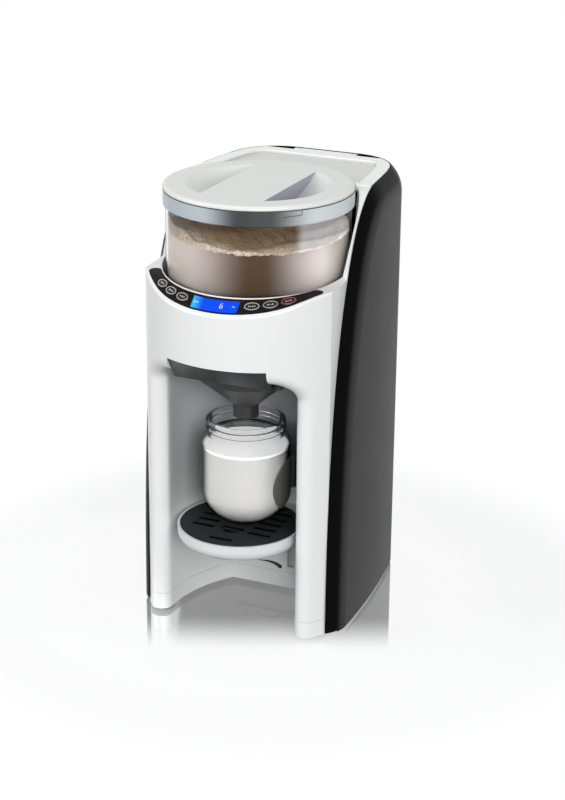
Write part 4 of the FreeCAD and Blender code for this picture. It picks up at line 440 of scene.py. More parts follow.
@dataclass(frozen=True)
class ShellGloss:
    """Dark grey shell; painted shade makes it near-black along the rounded edges."""

    name: str = "shell_gloss"
    edge: Colour = (0.003, 0.003, 0.003)
    side: Colour = (0.046, 0.046, 0.046)
    slope: Pair = (0.90, 0.99)

    def material(self) -> bpy.types.Material:
        """Build the material: colour follows sqrt(nx^2 + max(ny, 0)^2), how far it faces sideways or back,
        with painted shade where it is small.

        Returns:
            The material.
        """
        material, nodes, shader = new_material(self.name)
        across, back, _ = nodes.coordinates("Normal")
        flat = nodes.distance(across, nodes.math("MAXIMUM", back, 0.0))
        # painted shade: near-black where the face turns to the front or up, the shell's dark grey on the
        # sides
        colour = nodes.mix(nodes.span(flat, *self.slope), self.edge, self.side)
        grained(nodes, shader, colour, roughness=0.3, drift=0.05, spread=0.08, scale=1800.0, depth=0.00001)
        shader.inputs["Specular IOR Level"].default_value = 0.02
        return material


@dataclass(frozen=True)
class Clear:
    """Clear moulded plastic with faint rub marks, and painted shade that darkens it where it is seen edge on.
    """

    name: str
    colour: Colour = (0.97, 0.98, 0.99)
    edge: Colour = (0.3, 0.3, 0.3)
    start: float = 0.75
    end: float = 0.95
    roughness: float = 0.03
    ior: float = 1.3

    def material(self) -> bpy.types.Material:
        """Build the material.

        Returns:
            The material.
        """
        material, nodes, shader = new_material(self.name)
        grain = use_group(nodes, Groups.grain(), Colour=self.colour, Drift=0.02, Roughness=self.roughness,
                          Spread=0.03, Scale=160.0)
        facing = nodes.add("ShaderNodeLayerWeight", {"Blend": 0.5}).outputs["Facing"]
        # painted shade: darker towards the rim, where the surface is seen edge on
        rim = nodes.span(facing, self.start, self.end)
        nodes.put(shader.inputs["Base Color"], nodes.mix(rim, grain.outputs["Colour"], self.edge))
        nodes.put(shader.inputs["Roughness"], grain.outputs["Roughness"])
        shader.inputs["Transmission Weight"].default_value = 1.0
        shader.inputs["IOR"].default_value = self.ior
        return material


@dataclass(frozen=True)
class Steel:
    """Drawn or ground steel."""

    name: str
    colour: Colour = (0.56, 0.56, 0.58)
    roughness: float = 0.32

    def material(self) -> bpy.types.Material:
        """Build the material.

        Returns:
            The material.
        """
        material, nodes, shader = new_material(self.name)
        lines = use_group(nodes, Groups.brushed(), Colour=self.colour, Drift=0.12, Roughness=self.roughness)
        laid_on(nodes, shader, lines, 0.00002)
        shader.inputs["Metallic"].default_value = 1.0
        return material


@dataclass(frozen=True)
class CollarSilver:
    """Silvery ring with a brushed look, and painted reflections round it: light at the left and right, dark
    between them.
    """

    name: str = "collar_silver"
    left: Colour = (0.44, 0.50, 0.54)
    right: Colour = (0.64, 0.69, 0.71)
    dark: Colour = (0.032, 0.038, 0.041)
    left_edge: Pair = (-0.20, 0.22)
    right_edge: Pair = (0.52, 1.08)

    def material(self) -> bpy.types.Material:
        """Build the material: the painted light and dark reflections follow the angle round the drum.

        Returns:
            The material.
        """
        material, nodes, shader = new_material(self.name)
        angle, _ = drum_angle(nodes)
        # painted reflections: light at the left, dark between, light again at the right
        lit_left = nodes.mix(nodes.span(angle, *self.left_edge, 1.0, 0.0), self.dark, self.left)
        colour = nodes.mix(nodes.span(angle, *self.right_edge), lit_left, self.right)
        lines = use_group(nodes, Groups.brushed(), Colour=colour, Drift=0.05, Roughness=0.3)
        laid_on(nodes, shader, lines, 0.00002)
        shader.inputs["Metallic"].default_value = 0.15
        return material


@dataclass(frozen=True)
class PanelGloss:
    """Deep glossy black overlay with a warm tint."""

    name: str = "panel_gloss"
    colour: Colour = (0.016, 0.012, 0.010)

    def material(self) -> bpy.types.Material:
        """Build the material.

        Returns:
            The material.
        """
        material, nodes, shader = new_material(self.name)
        grained(nodes, shader, self.colour, roughness=0.12, drift=0.15, scale=700.0)
        shader.inputs["Specular IOR Level"].default_value = 0.035
        return material


@dataclass(frozen=True)
class Backlit:
    """Lit display: blue, fading to cyan at its left end."""

    name: str = "display_backlit"
    main: Colour = (0.002, 0.050, 0.60)
    end: Colour = (0.03, 0.34, 0.80)
    left_x: float = -0.0215
    fade: float = 0.012
    strength: float = 0.42

    def material(self) -> bpy.types.Material:
        """Build the material: the colour follows x.

        Returns:
            The material.
        """
        material, nodes, shader = new_material(self.name)
        place = nodes.add("ShaderNodeTexCoord").outputs["Object"]
        x = nodes.add("ShaderNodeSeparateXYZ", {0: place}).outputs[0]
        cells = nodes.add("ShaderNodeTexNoise", {"Vector": place, "Scale": 60.0, "Detail": 1.0})
        share = nodes.product(nodes.span(x, self.left_x, self.left_x + self.fade, 1.0, 0.0),
                              nodes.math("ADD", cells.outputs[0], 0.3))
        colour = nodes.mix(share, self.main, self.end)
        nodes.put(shader.inputs["Base Color"], colour)
        nodes.put(shader.inputs["Emission Color"], colour)
        shader.inputs["Emission Strength"].default_value = self.strength
        shader.inputs["Roughness"].default_value = 0.15
        shader.inputs["Specular IOR Level"].default_value = 0.15
        return material


@dataclass(frozen=True)
class Powdery:
    """Formula powder: pale fine powder below and browner coarse granules on top. Painted shade darkens the
    powder in the middle and at the far right, and the granules away from the wall; painted light makes the
    powder paler at the right and the granules glow.

    Lengths are in metres and angles in radians, round the drum from its front.
    """

    name: str = "formula_powder"
    left: Colour = (0.44, 0.395, 0.375)
    right: Colour = (0.62, 0.565, 0.555)
    far_right: Colour = (0.36, 0.335, 0.315)
    shade: Colour = (0.060, 0.036, 0.021)
    crumb_wall: Colour = (0.80, 0.71, 0.60)
    crumb_inner: Colour = (0.50, 0.35, 0.20)
    crumb_left: Colour = (0.46, 0.41, 0.35)
    crumb_dark: Colour = (0.20, 0.13, 0.075)
    smooth: Colour = (0.66, 0.635, 0.63)
    level: float = 0.3592
    rise: float = 0.006
    ragged: float = 0.006
    wall: float = 0.0788
    middle: float = 0.40
    pale_turn: Pair = (0.2, 0.7)
    far_turn: Pair = (1.12, 1.5)
    shade_turn: Pair = (0.06, 0.86)
    wall_reach: Pair = (0.058, 0.074)
    left_side: Pair = (-0.075, -0.030)
    calm_side: Pair = (0.030, 0.041)
    glow: Pair = (0.06, 0.30)

    def material(self) -> bpy.types.Material:
        """Build the material: height picks powder or granules, and painted light and shade follow the angle
        round the drum.

        Returns:
            The material.
        """
        material, nodes, shader = new_material(self.name)
        place = nodes.add("ShaderNodeTexCoord").outputs["Object"]
        angle, height = drum_angle(nodes)
        turn = nodes.math("SUBTRACT", angle, self.middle)
        gap = nodes.math("ABSOLUTE", turn)
        # painted light and shade: the pale powder is lighter at the right than at the left, and darker at the
        # far right
        pale = nodes.mix(nodes.span(angle, *self.pale_turn), self.left, self.right)
        pale = nodes.mix(nodes.span(angle, *self.far_turn), pale, self.far_right)
        fine = use_group(nodes, Groups.crumbs(), Light=pale, Dark=nodes.mix(0.12, pale, (0.3, 0.25, 0.2)),
                         Scale=1500.0)
        # painted shade over the powder round the middle angle
        base = nodes.mix(nodes.span(gap, *self.shade_turn), self.shade, fine.outputs["Colour"])
        x, y = drum_plan(nodes)
        reach = nodes.distance(x, y)
        across = nodes.math("ADD", nodes.product(x, math.cos(self.middle)),
                            nodes.product(y, math.sin(self.middle)))
        # painted shade: the granules are darker away from the wall
        bright = nodes.mix(nodes.span(reach, *self.wall_reach), self.crumb_inner, self.crumb_wall)
        bright = nodes.mix(nodes.span(across, *self.left_side, 1.0, 0.0), bright, self.crumb_left)
        coarse = use_group(nodes, Groups.crumbs(), Light=bright, Dark=self.crumb_dark, Scale=950.0)
        calm = nodes.span(across, *self.calm_side)
        rough_top = nodes.mix(calm, coarse.outputs["Colour"], self.smooth)
        noise = nodes.add("ShaderNodeTexNoise", {"Vector": place, "Scale": 150.0, "Detail": 5.0})
        lift = nodes.product(nodes.math("SUBTRACT", 1.0, nodes.math("COSINE", turn)), self.rise)
        level = nodes.math("ADD", nodes.math("SUBTRACT", height, lift),
                           nodes.product(nodes.math("SUBTRACT", noise.outputs[0], 0.5), self.ragged))
        upper = nodes.math("MAXIMUM", nodes.span(level, self.level, self.level + 0.0014),
                           nodes.span(reach, self.wall - 0.001, self.wall, 1.0, 0.0))
        colour = nodes.mix(upper, base, rough_top)
        nodes.put(shader.inputs["Base Color"], colour)
        # painted light: the granules glow, most on the calm part at the right
        nodes.put(shader.inputs["Emission Color"], colour)
        glow = nodes.span(calm, 0.0, 1.0, *self.glow)
        nodes.put(shader.inputs["Emission Strength"], nodes.product(upper, glow))
        bumped(nodes, shader, nodes.product(upper, coarse.outputs["Height"]), 0.0005)
        shader.inputs["Roughness"].default_value = 0.9
        shader.inputs["Specular IOR Level"].default_value = 0.2
        return material


@dataclass(frozen=True)
class Milky:
    """Mixed formula: an opaque white liquid, with a painted glow at its open surface."""

    name: str = "mixed_formula"
    body: Colour = (0.60, 0.595, 0.575)
    surface: Colour = (0.98, 0.98, 0.97)
    low: Colour = (0.46, 0.46, 0.445)
    left: Colour = (0.44, 0.435, 0.415)
    level: float = 0.1680
    left_side: Pair = (-0.038, -0.016)
    low_rise: Pair = (0.097, 0.122)
    skin: Pair = (0.0022, 0.0006)
    glow: float = 0.3

    def material(self) -> bpy.types.Material:
        """Build the material: painted light makes the open surface lighter than the body, and painted shade
        makes the base and left side darker.

        Returns:
            The material.
        """
        material, nodes, shader = new_material(self.name)
        x, _, height = nodes.coordinates()
        start, end = (self.level - depth for depth in self.skin)
        # painted shade: darker at the left side and at the base
        body = nodes.mix(nodes.span(x, *self.left_side), self.left, self.body)
        body = nodes.mix(nodes.span(height, *self.low_rise), self.low, body)
        # painted light: the open surface is lighter, and glows
        colour = nodes.mix(nodes.span(height, start, end), body, self.surface)
        grain = use_group(nodes, Groups.grain(), Colour=colour, Drift=0.02, Roughness=0.25, Spread=0.05,
                          Scale=300.0)
        laid_on(nodes, shader, grain)
        nodes.put(shader.inputs["Emission Color"], grain.outputs["Colour"])
        nodes.put(shader.inputs["Emission Strength"], nodes.span(height, start, end, 0.0, self.glow))
        shader.inputs["Subsurface Weight"].default_value = 0.2
        shader.inputs["Subsurface Scale"].default_value = 0.004
        return material


@dataclass(frozen=True)
class HousingWhite:
    """Glossy white moulding; painted shade greys the bay's inner faces, most at its right and under its roof.

    Lengths are in metres. Each share is how much of the shade shows at the start and at the end of its range.
    """

    name: str = "housing_white"
    colour: Colour = (0.80, 0.805, 0.80)
    shade: Colour = (0.060, 0.064, 0.074)
    right_low: Colour = (0.022, 0.024, 0.028)
    right_high: Colour = (0.150, 0.155, 0.165)
    half_width: Pair = (0.0622, 0.0640)
    front: Pair = (-0.108, -0.080)
    back: Pair = (-0.004, 0.0)
    roof: Pair = (0.2480, 0.2500)
    across: Pair = (-0.035, 0.035)
    across_share: Pair = (0.56, 1.0)
    right_side: Pair = (0.0, 0.03)
    right_lift: Pair = (0.0, 0.05)
    right_tone: Pair = (0.0, 0.025)
    tone_rise: Pair = (0.130, 0.185)
    low_rise: Pair = (0.04, 0.15)
    low_share: Pair = (0.06, 1.0)
    high_rise: Pair = (0.20, 0.245)
    high_share: Pair = (1.0, 0.75)

    def material(self) -> bpy.types.Material:
        """Build the material: a mask over the bay mixes in the shade.

        Returns:
            The material.
        """
        material, nodes, shader = new_material(self.name)
        x, y, z = nodes.coordinates()
        inside = nodes.product(nodes.span(nodes.math("ABSOLUTE", x), *self.half_width, 1.0, 0.0),
                               nodes.span(y, *self.front))
        under = nodes.product(nodes.span(z, *self.roof, 1.0, 0.0), nodes.span(y, *self.back, 1.0, 0.0))
        right = nodes.span(x, *self.across, *self.across_share)
        lifted = nodes.math("ADD", z, nodes.span(x, *self.right_side, *self.right_lift))
        high = nodes.product(nodes.span(lifted, *self.low_rise, *self.low_share),
                             nodes.span(z, *self.high_rise, *self.high_share))
        tone = nodes.mix(nodes.span(z, *self.tone_rise), self.right_low, self.right_high)
        shade = nodes.mix(nodes.span(x, *self.right_tone), self.shade, tone)
        # painted shade over the bay's inner faces
        colour = nodes.mix(nodes.product(inside, under, right, high), self.colour, shade)
        grained(nodes, shader, colour, roughness=0.22, drift=0.008, depth=0.000006)
        return material


@dataclass(frozen=True)
class LidWhite:
    """Satin off-white lid; painted shade makes the steep walls of its finger pockets a cooler grey and their
    floors a little darker.
    """

    name: str = "lid_white"
    colour: Colour = (0.74, 0.745, 0.71)
    wall: Colour = (0.33, 0.335, 0.41)
    floor: Colour = (0.62, 0.62, 0.60)
    pocket_reach: Pair = (0.070, 0.074)
    pocket_depth: Pair = (0.3895, 0.4015)
    steepness: Pair = (0.45, 0.75)

    def material(self) -> bpy.types.Material:
        """Build the material: depth and the slope of the face pick the shade.

        Returns:
            The material.
        """
        material, nodes, shader = new_material(self.name)
        _, _, height = nodes.coordinates()
        _, _, slope = nodes.coordinates("Normal")
        inside = nodes.span(nodes.distance(*drum_plan(nodes)), *self.pocket_reach, 1.0, 0.0)
        deep = nodes.product(inside, nodes.span(height, *self.pocket_depth, 1.0, 0.0))
        steep = nodes.product(inside, nodes.span(slope, *self.steepness, 1.0, 0.0))
        # painted shade in the finger pockets: darker floors, cooler grey steep walls
        colour = nodes.mix(steep, nodes.mix(deep, self.colour, self.floor), self.wall)
        grained(nodes, shader, colour, roughness=0.36, drift=0.01, scale=1300.0, depth=0.000008)
        return material


@dataclass(frozen=True)
class ShadedBelowLevel:
    """Moulded plastic in its own tone above a height, with painted shade below it."""

    name: str
    upper: Colour
    lower_shade: Colour
    level: float
    blend: float = 0.0006
    roughness: float = 0.3

    def material(self) -> bpy.types.Material:
        """Build the material: height picks the plain tone or the painted shade.

        Returns:
            The material.
        """
        material, nodes, shader = new_material(self.name)
        _, _, height = nodes.coordinates()
        share = nodes.span(height, self.level - self.blend, self.level + self.blend)
        # painted shade below the level
        colour = nodes.mix(share, self.lower_shade, self.upper)
        grained(nodes, shader, colour, self.roughness, drift=0.02, depth=0.000008)
        return material


@dataclass(frozen=True)
class GridBlack:
    """Dark grey drip grid, with painted shade that blackens it below its top and in a band round each drain
    slot.
    """

    name: str = "grid_black"
    colour: Colour = (0.025, 0.027, 0.028)
    dark: Colour = (0.0015, 0.0015, 0.0015)
    level: float = 0.0946
    first_row: float = -0.0575
    pitch: float = 0.0123
    inner_end: float = 0.0170
    outer_end: float = 0.0385
    front_row: float = -0.0795
    front_half: float = 0.0108
    shade_reach: float = 0.0023
    soft: float = 0.0004

    def slot_shade_mask(self, nodes: Nodes, x: Socket, y: Socket) -> Socket:
        """Mask of the painted shade round the slots: distance to the nearest row of slots, within the rows'
        length.

        Args:
            nodes: The material's node builder.
            x: Distance to the side.
            y: Distance back from the drum's axis.

        Returns:
            1 in the painted shade, 0 elsewhere.
        """
        side = nodes.math("ABSOLUTE", x)
        back = nodes.math("SUBTRACT", y, self.first_row - self.pitch / 2)
        along = nodes.math("SUBTRACT", nodes.math("MODULO", back, self.pitch), self.pitch / 2)
        off = nodes.math("ABSOLUTE", along)
        row = nodes.product(nodes.span(off, self.shade_reach, self.shade_reach + self.soft, 1.0, 0.0),
                            nodes.math("GREATER_THAN", back, 0.0))
        length = nodes.product(nodes.span(side, self.inner_end - self.soft, self.inner_end),
                               nodes.span(side, self.outer_end, self.outer_end + self.soft, 1.0, 0.0))
        ahead = nodes.math("ABSOLUTE", nodes.math("SUBTRACT", y, self.front_row))
        front = nodes.product(nodes.span(ahead, self.shade_reach, self.shade_reach + self.soft, 1.0, 0.0),
                              nodes.span(side, self.front_half, self.front_half + self.soft, 1.0, 0.0))
        return nodes.math("MAXIMUM", nodes.product(row, length), front)

    def material(self) -> bpy.types.Material:
        """Build the material.

        Returns:
            The material.
        """
        material, nodes, shader = new_material(self.name)
        _, _, height = nodes.coordinates()
        slots = self.slot_shade_mask(nodes, *drum_plan(nodes))
        low = nodes.span(height, self.level - self.soft / 2, self.level + self.soft / 2, 1.0, 0.0)
        # painted shade: black round the slots and below the top
        colour = nodes.mix(nodes.math("MAXIMUM", slots, low), self.colour, self.dark)
        grained(nodes, shader, colour, roughness=0.42, drift=0.05, depth=0.00001)
        shader.inputs["Specular IOR Level"].default_value = 0.1
        return material


@dataclass(frozen=True)
class CircuitGreen:
    """Circuit board with fine copper tracks under green lacquer."""

    name: str = "circuit_green"
    lacquer: Colour = (0.02, 0.11, 0.05)
    second: Colour = (0.03, 0.14, 0.06)
    track: Colour = (0.10, 0.30, 0.14)

    def material(self) -> bpy.types.Material:
        """Build the material: thin bands of a brick pattern are the tracks.

        Returns:
            The material.
        """
        material, nodes, shader = new_material(self.name)
        place = nodes.add("ShaderNodeTexCoord").outputs["Object"]
        bricks = nodes.add("ShaderNodeTexBrick", {"Vector": place, "Scale": 160.0, "Mortar Size": 0.04,
                                                  "Color1": self.lacquer, "Color2": self.second,
                                                  "Mortar": self.track})
        grained(nodes, shader, bricks.outputs[0], roughness=0.35, drift=0.1, spread=0.1, scale=900.0)
        return material


class Finishes:
    """Every finish of the machine, made into a material once."""

    def __init__(self) -> None:
        """Build the materials by name.

        A moulded finish gives its name, colour, roughness, colour drift, roughness spread, grain depth and
        scale, and its specular level where it isn't 0.5.
        """
        kinds = [
            ShellGloss(), CollarSilver(), PanelGloss(), Backlit(), Powdery(), Milky(), CircuitGreen(),
            HousingWhite(), LidWhite(), GridBlack(),
            # the cover's sunk part below this height wears painted shade
            ShadedBelowLevel("cover_white", (0.90, 0.905, 0.87), (0.66, 0.665, 0.635), 0.3968),
            Moulded("tray_white", (0.70, 0.705, 0.71), 0.26, 0.01, 0.05, 0.000006, 1500.0),
            Moulded("inner_white", (0.72, 0.72, 0.69), 0.42, 0.02, 0.06, 0.00001, 1200.0),
            Moulded("gear_nylon", (0.74, 0.71, 0.62), 0.45, 0.03, 0.08, 0.00001, 1000.0),
            Moulded("foot_rubber", (0.02, 0.02, 0.021), 0.75, 0.08, 0.1, 0.00003, 900.0, 0.3),
            Moulded("seal_silicone", (0.60, 0.61, 0.62), 0.55, 0.03, 0.08, 0.00002, 900.0, 0.4),
            Moulded("hose_silicone", (0.66, 0.67, 0.68), 0.4, 0.03, 0.08, 0.00001, 700.0, 0.4),
            Moulded("funnel_grey", (0.023, 0.024, 0.025), 0.38, 0.05, 0.08, 0.00001, 1500.0, 0.3),
            Moulded("button_black", (0.020, 0.017, 0.018), 0.25, 0.1, 0.08, 0.00001, 1200.0, 0.35),
            Moulded("mark_light", (0.42, 0.41, 0.40), 0.4, 0.05, 0.05, 0.00001, 2000.0),
            Moulded("mark_and_gap_shadow_dark", (0.03, 0.03, 0.032), 0.4, 0.05, 0.05, 0.00001, 2000.0),
            Moulded("ring_silver", (0.50, 0.48, 0.45), 0.3, 0.05, 0.05, 0.000005, 2500.0),
            Moulded("ring_green", (0.34, 0.38, 0.26), 0.3, 0.05, 0.05, 0.000005, 2500.0),
            Moulded("ring_red", (0.40, 0.06, 0.07), 0.3, 0.05, 0.05, 0.000005, 2500.0),
            Moulded("digit_light", (0.75, 0.85, 0.9), 0.3, 0.05, 0.05, 0.000005, 2500.0),
            Moulded("grip_grey", (0.10, 0.10, 0.095), 0.5, 0.03, 0.05, 0.00002, 1500.0, 0.3),
            Clear("drum_clear", (0.98, 0.975, 0.965), (0.06, 0.05, 0.045), 0.80, 0.93, 0.03, 1.08),
            Clear("tank_clear", (0.94, 0.96, 0.98), (0.4, 0.42, 0.45), 0.75, 0.95, 0.05, 1.3),
            Clear("bottle_clear", (0.97, 0.975, 0.98), (0.008, 0.008, 0.010), 0.48, 0.74, 0.02, 1.2),
            Steel("ground_steel", (0.58, 0.58, 0.60), 0.25),
            Steel("motor_steel", (0.46, 0.46, 0.48), 0.38),
            Steel("heater_steel", (0.56, 0.55, 0.54), 0.3),
        ]
        self.by_name: Dict[str, bpy.types.Material] = {kind.name: kind.material() for kind in kinds}

    def dress(self, thing: bpy.types.Object, name: str) -> None:
        """Give an object one finish.

        Args:
            thing: The object.
            name: The finish.
        """
        thing.data.materials.clear()
        thing.data.materials.append(self.by_name[name])


NODE_FINISH: Dict[str, str] = {
    "side_shell": "shell_gloss", "front_housing": "housing_white", "base_ring": "housing_white",
    "base_screws": "ground_steel", "rubber_feet": "foot_rubber", "cord_bush": "foot_rubber",
    "control_panel": "panel_gloss", "display_window": "display_backlit", "control_board": "circuit_green",
    "powder_container": "drum_clear", "container_collar": "collar_silver", "container_lid": "lid_white",
    "lid_seal": "seal_silicone", "dosing_wheel": "inner_white", "stir_paddle": "inner_white",
    "drive_gear": "gear_nylon", "drive_shaft": "ground_steel", "idler_gear": "gear_nylon",
    "motor_pinion": "gear_nylon", "gear_plate": "inner_white", "gear_motor": "motor_steel",
    "powder_chute": "inner_white", "mixing_funnel": "funnel_grey", "funnel_runners": "funnel_grey",
    "water_nozzle": "inner_white", "drip_tray": "tray_white", "drip_grid": "grid_black",
    "bay_rail": "housing_white",
    "bottle": "bottle_clear", "water_tank": "tank_clear", "tank_valve": "inner_white",
    "tank_seal": "seal_silicone", "tank_shelf": "inner_white", "tank_cover": "cover_white",
    "cover_pin": "ground_steel", "supply_hose": "hose_silicone", "water_pump": "motor_steel",
    "heater": "heater_steel", "pump_hose": "hose_silicone", "hot_hose": "hose_silicone",
    "power_board": "circuit_green",
}


# ---------------------------------------------------------------- surfaces
def sheet_mesh(name: str, points: np.ndarray, close_u: bool = False, close_v: bool = False,
               smooth: bool = True) -> bpy.types.Object:
    """Make a mesh from a grid of points.

    Neighbouring grid points make quads; a closed direction joins its last row to its first. Rows that
    shrink to one point are merged, so poles are closed.

    Args:
        name: The piece's name.
        points: Array of shape (rows, columns, 3), in mm about the drum's axis.
        close_u: Whether the rows close.
        close_v: Whether the columns close.
        smooth: Whether faces shade smoothly.

    Returns:
        The object, at the origin, in metres.
    """
    rows, columns = points.shape[:2]
    place = (points.reshape(-1, 3) + np.array([0.0, AXIS_Y, 0.0])) * MM
    u = np.arange(rows if close_u else rows - 1)
    v = np.arange(columns if close_v else columns - 1)
    a = (u[:, None] * columns + v[None, :]).ravel()
    b = (u[:, None] * columns + (v[None, :] + 1) % columns).ravel()
    c = (((u[:, None] + 1) % rows) * columns + (v[None, :] + 1) % columns).ravel()
    d = (((u[:, None] + 1) % rows) * columns + v[None, :]).ravel()
    faces = np.stack([a, b, c, d], 1)
    mesh = bpy.data.meshes.new(name)
    mesh.from_pydata(place.tolist(), [], faces.tolist())
    build = bmesh.new()
    build.from_mesh(mesh)
    bmesh.ops.remove_doubles(build, verts=build.verts, dist=1e-7)
    bmesh.ops.recalc_face_normals(build, faces=build.faces)
    build.to_mesh(mesh)
    build.free()
    mesh.polygons.foreach_set("use_smooth", np.full(len(mesh.polygons), smooth))
    piece = bpy.data.objects.new(name, mesh)
    bpy.context.scene.collection.objects.link(piece)
    return piece


def turned_surface(profile: np.ndarray, columns: int, centre: Pair = (0.0, 0.0)) -> np.ndarray:
    """Carry a profile round an upright axis.

    x = r sin(angle), y = -r cos(angle), z as given, for every profile point (r, z) and every angle.

    Args:
        profile: Array of (radius, z) rows in mm.
        columns: Steps round the axis.
        centre: Where the axis stands.

    Returns:
        Grid of points, columns closed.
    """
    angle = np.linspace(0.0, 2 * np.pi, columns, endpoint=False)
    r, z = profile[:, 0][:, None], profile[:, 1][:, None]
    return np.stack([centre[0] + r * np.sin(angle), centre[1] - r * np.cos(angle), z + 0 * angle], 2)


def tube_surface(path: np.ndarray, radius: float, sides: int, closed: bool, up: np.ndarray) -> np.ndarray:
    """Carry a circle along a path.

    At each path point the circle lies across the path's direction, in the plane of the given up vector
    and its cross product with that direction. An open path's ends shrink to a point, so they are closed.

    Args:
        path: Points in mm, shape (n, 3).
        radius: The circle's radius.
        sides: Points on the circle.
        closed: Whether the path closes.
        up: Direction that stays across the path.

    Returns:
        Grid of points, columns closed.
    """
    ahead = np.roll(path, -1, 0) - np.roll(path, 1, 0)
    if not closed:
        ahead[0] = path[1] - path[0]
        ahead[-1] = path[-1] - path[-2]
    ahead /= np.linalg.norm(ahead, axis=1, keepdims=True)
    side = np.cross(ahead, up[None, :])
    side /= np.linalg.norm(side, axis=1, keepdims=True)
    rise = np.cross(side, ahead)
    t = np.linspace(0, 2 * np.pi, sides, endpoint=False)
    skin = path[:, None, :] + radius * (np.cos(t)[None, :, None] * side[:, None, :]
                                        + np.sin(t)[None, :, None] * rise[:, None, :])
    if closed:
        return skin
    ends = np.repeat(path[[0, -1], None, :], sides, axis=1)
    return np.concatenate([ends[:1], skin, ends[1:]])


# ---------------------------------------------------------------- sub-assemblies
@dataclass
class Shoulder:
    """The curved shoulder that carries the panel; heights in mm, angles in degrees from the front."""

    inner_radius: float = 85.0
    outer_radius: float = 99.0
    inner_z: float = 323.5
    outer_z: float = 310.0
    button_radius: float = 91.7
    inner_lift: float = 8.0
    outer_lift: float = 17.0
    end_drop: float = 3.5
    lift_angle: float = 55.0
    end_angle: float = 85.0
    drop_angle: float = 35.0

    def height(self, radius: float, angle: float) -> float:
        """Height of the shoulder.

        The inner edge rises as angle^2. The outer rises as angle^2.2 up to the lift angle and then drops a
        little. Between the two edges the height is linear in the radius.

        Args:
            radius: Distance from the drum's axis.
            angle: Angle from the front.

        Returns:
            The height in mm.
        """
        inner = self.inner_z + self.inner_lift * (angle / self.end_angle) ** 2
        outer = self.outer_z + self.outer_lift * min(1.0, abs(angle) / self.lift_angle) ** 2.2
        outer -= self.end_drop * min(1.0, max(0.0, abs(angle) - self.lift_angle) / self.drop_angle) ** 1.5
        share = (radius - self.inner_radius) / (self.outer_radius - self.inner_radius)
        return inner + (outer - inner) * share

    def point(self, radius: float, angle: float) -> np.ndarray:
        """Point on the shoulder.

        Args:
            radius: Distance from the drum's axis.
            angle: Angle from the front.

        Returns:
            The point in mm.
        """
        a = math.radians(angle)
        return np.array([radius * math.sin(a), -radius * math.cos(a), self.height(radius, angle)])

    def frame(self, angle: float) -> Tuple[np.ndarray, np.ndarray, np.ndarray, np.ndarray]:
        """Middle of the panel at an angle, and the directions along, across and out of it.

        Args:
            angle: Angle from the front.

        Returns:
            The point, then the three directions.
        """
        here = self.point(self.button_radius, angle)
        along = self.point(self.button_radius, angle + 0.5) - self.point(self.button_radius, angle - 0.5)
        along /= np.linalg.norm(along)
        outward = self.point(self.button_radius + 0.5, angle) - here
        out = np.cross(along, outward)
        out /= np.linalg.norm(out)
        out *= 1.0 if out[2] > 0 else -1.0
        return here, along, np.cross(out, along), out


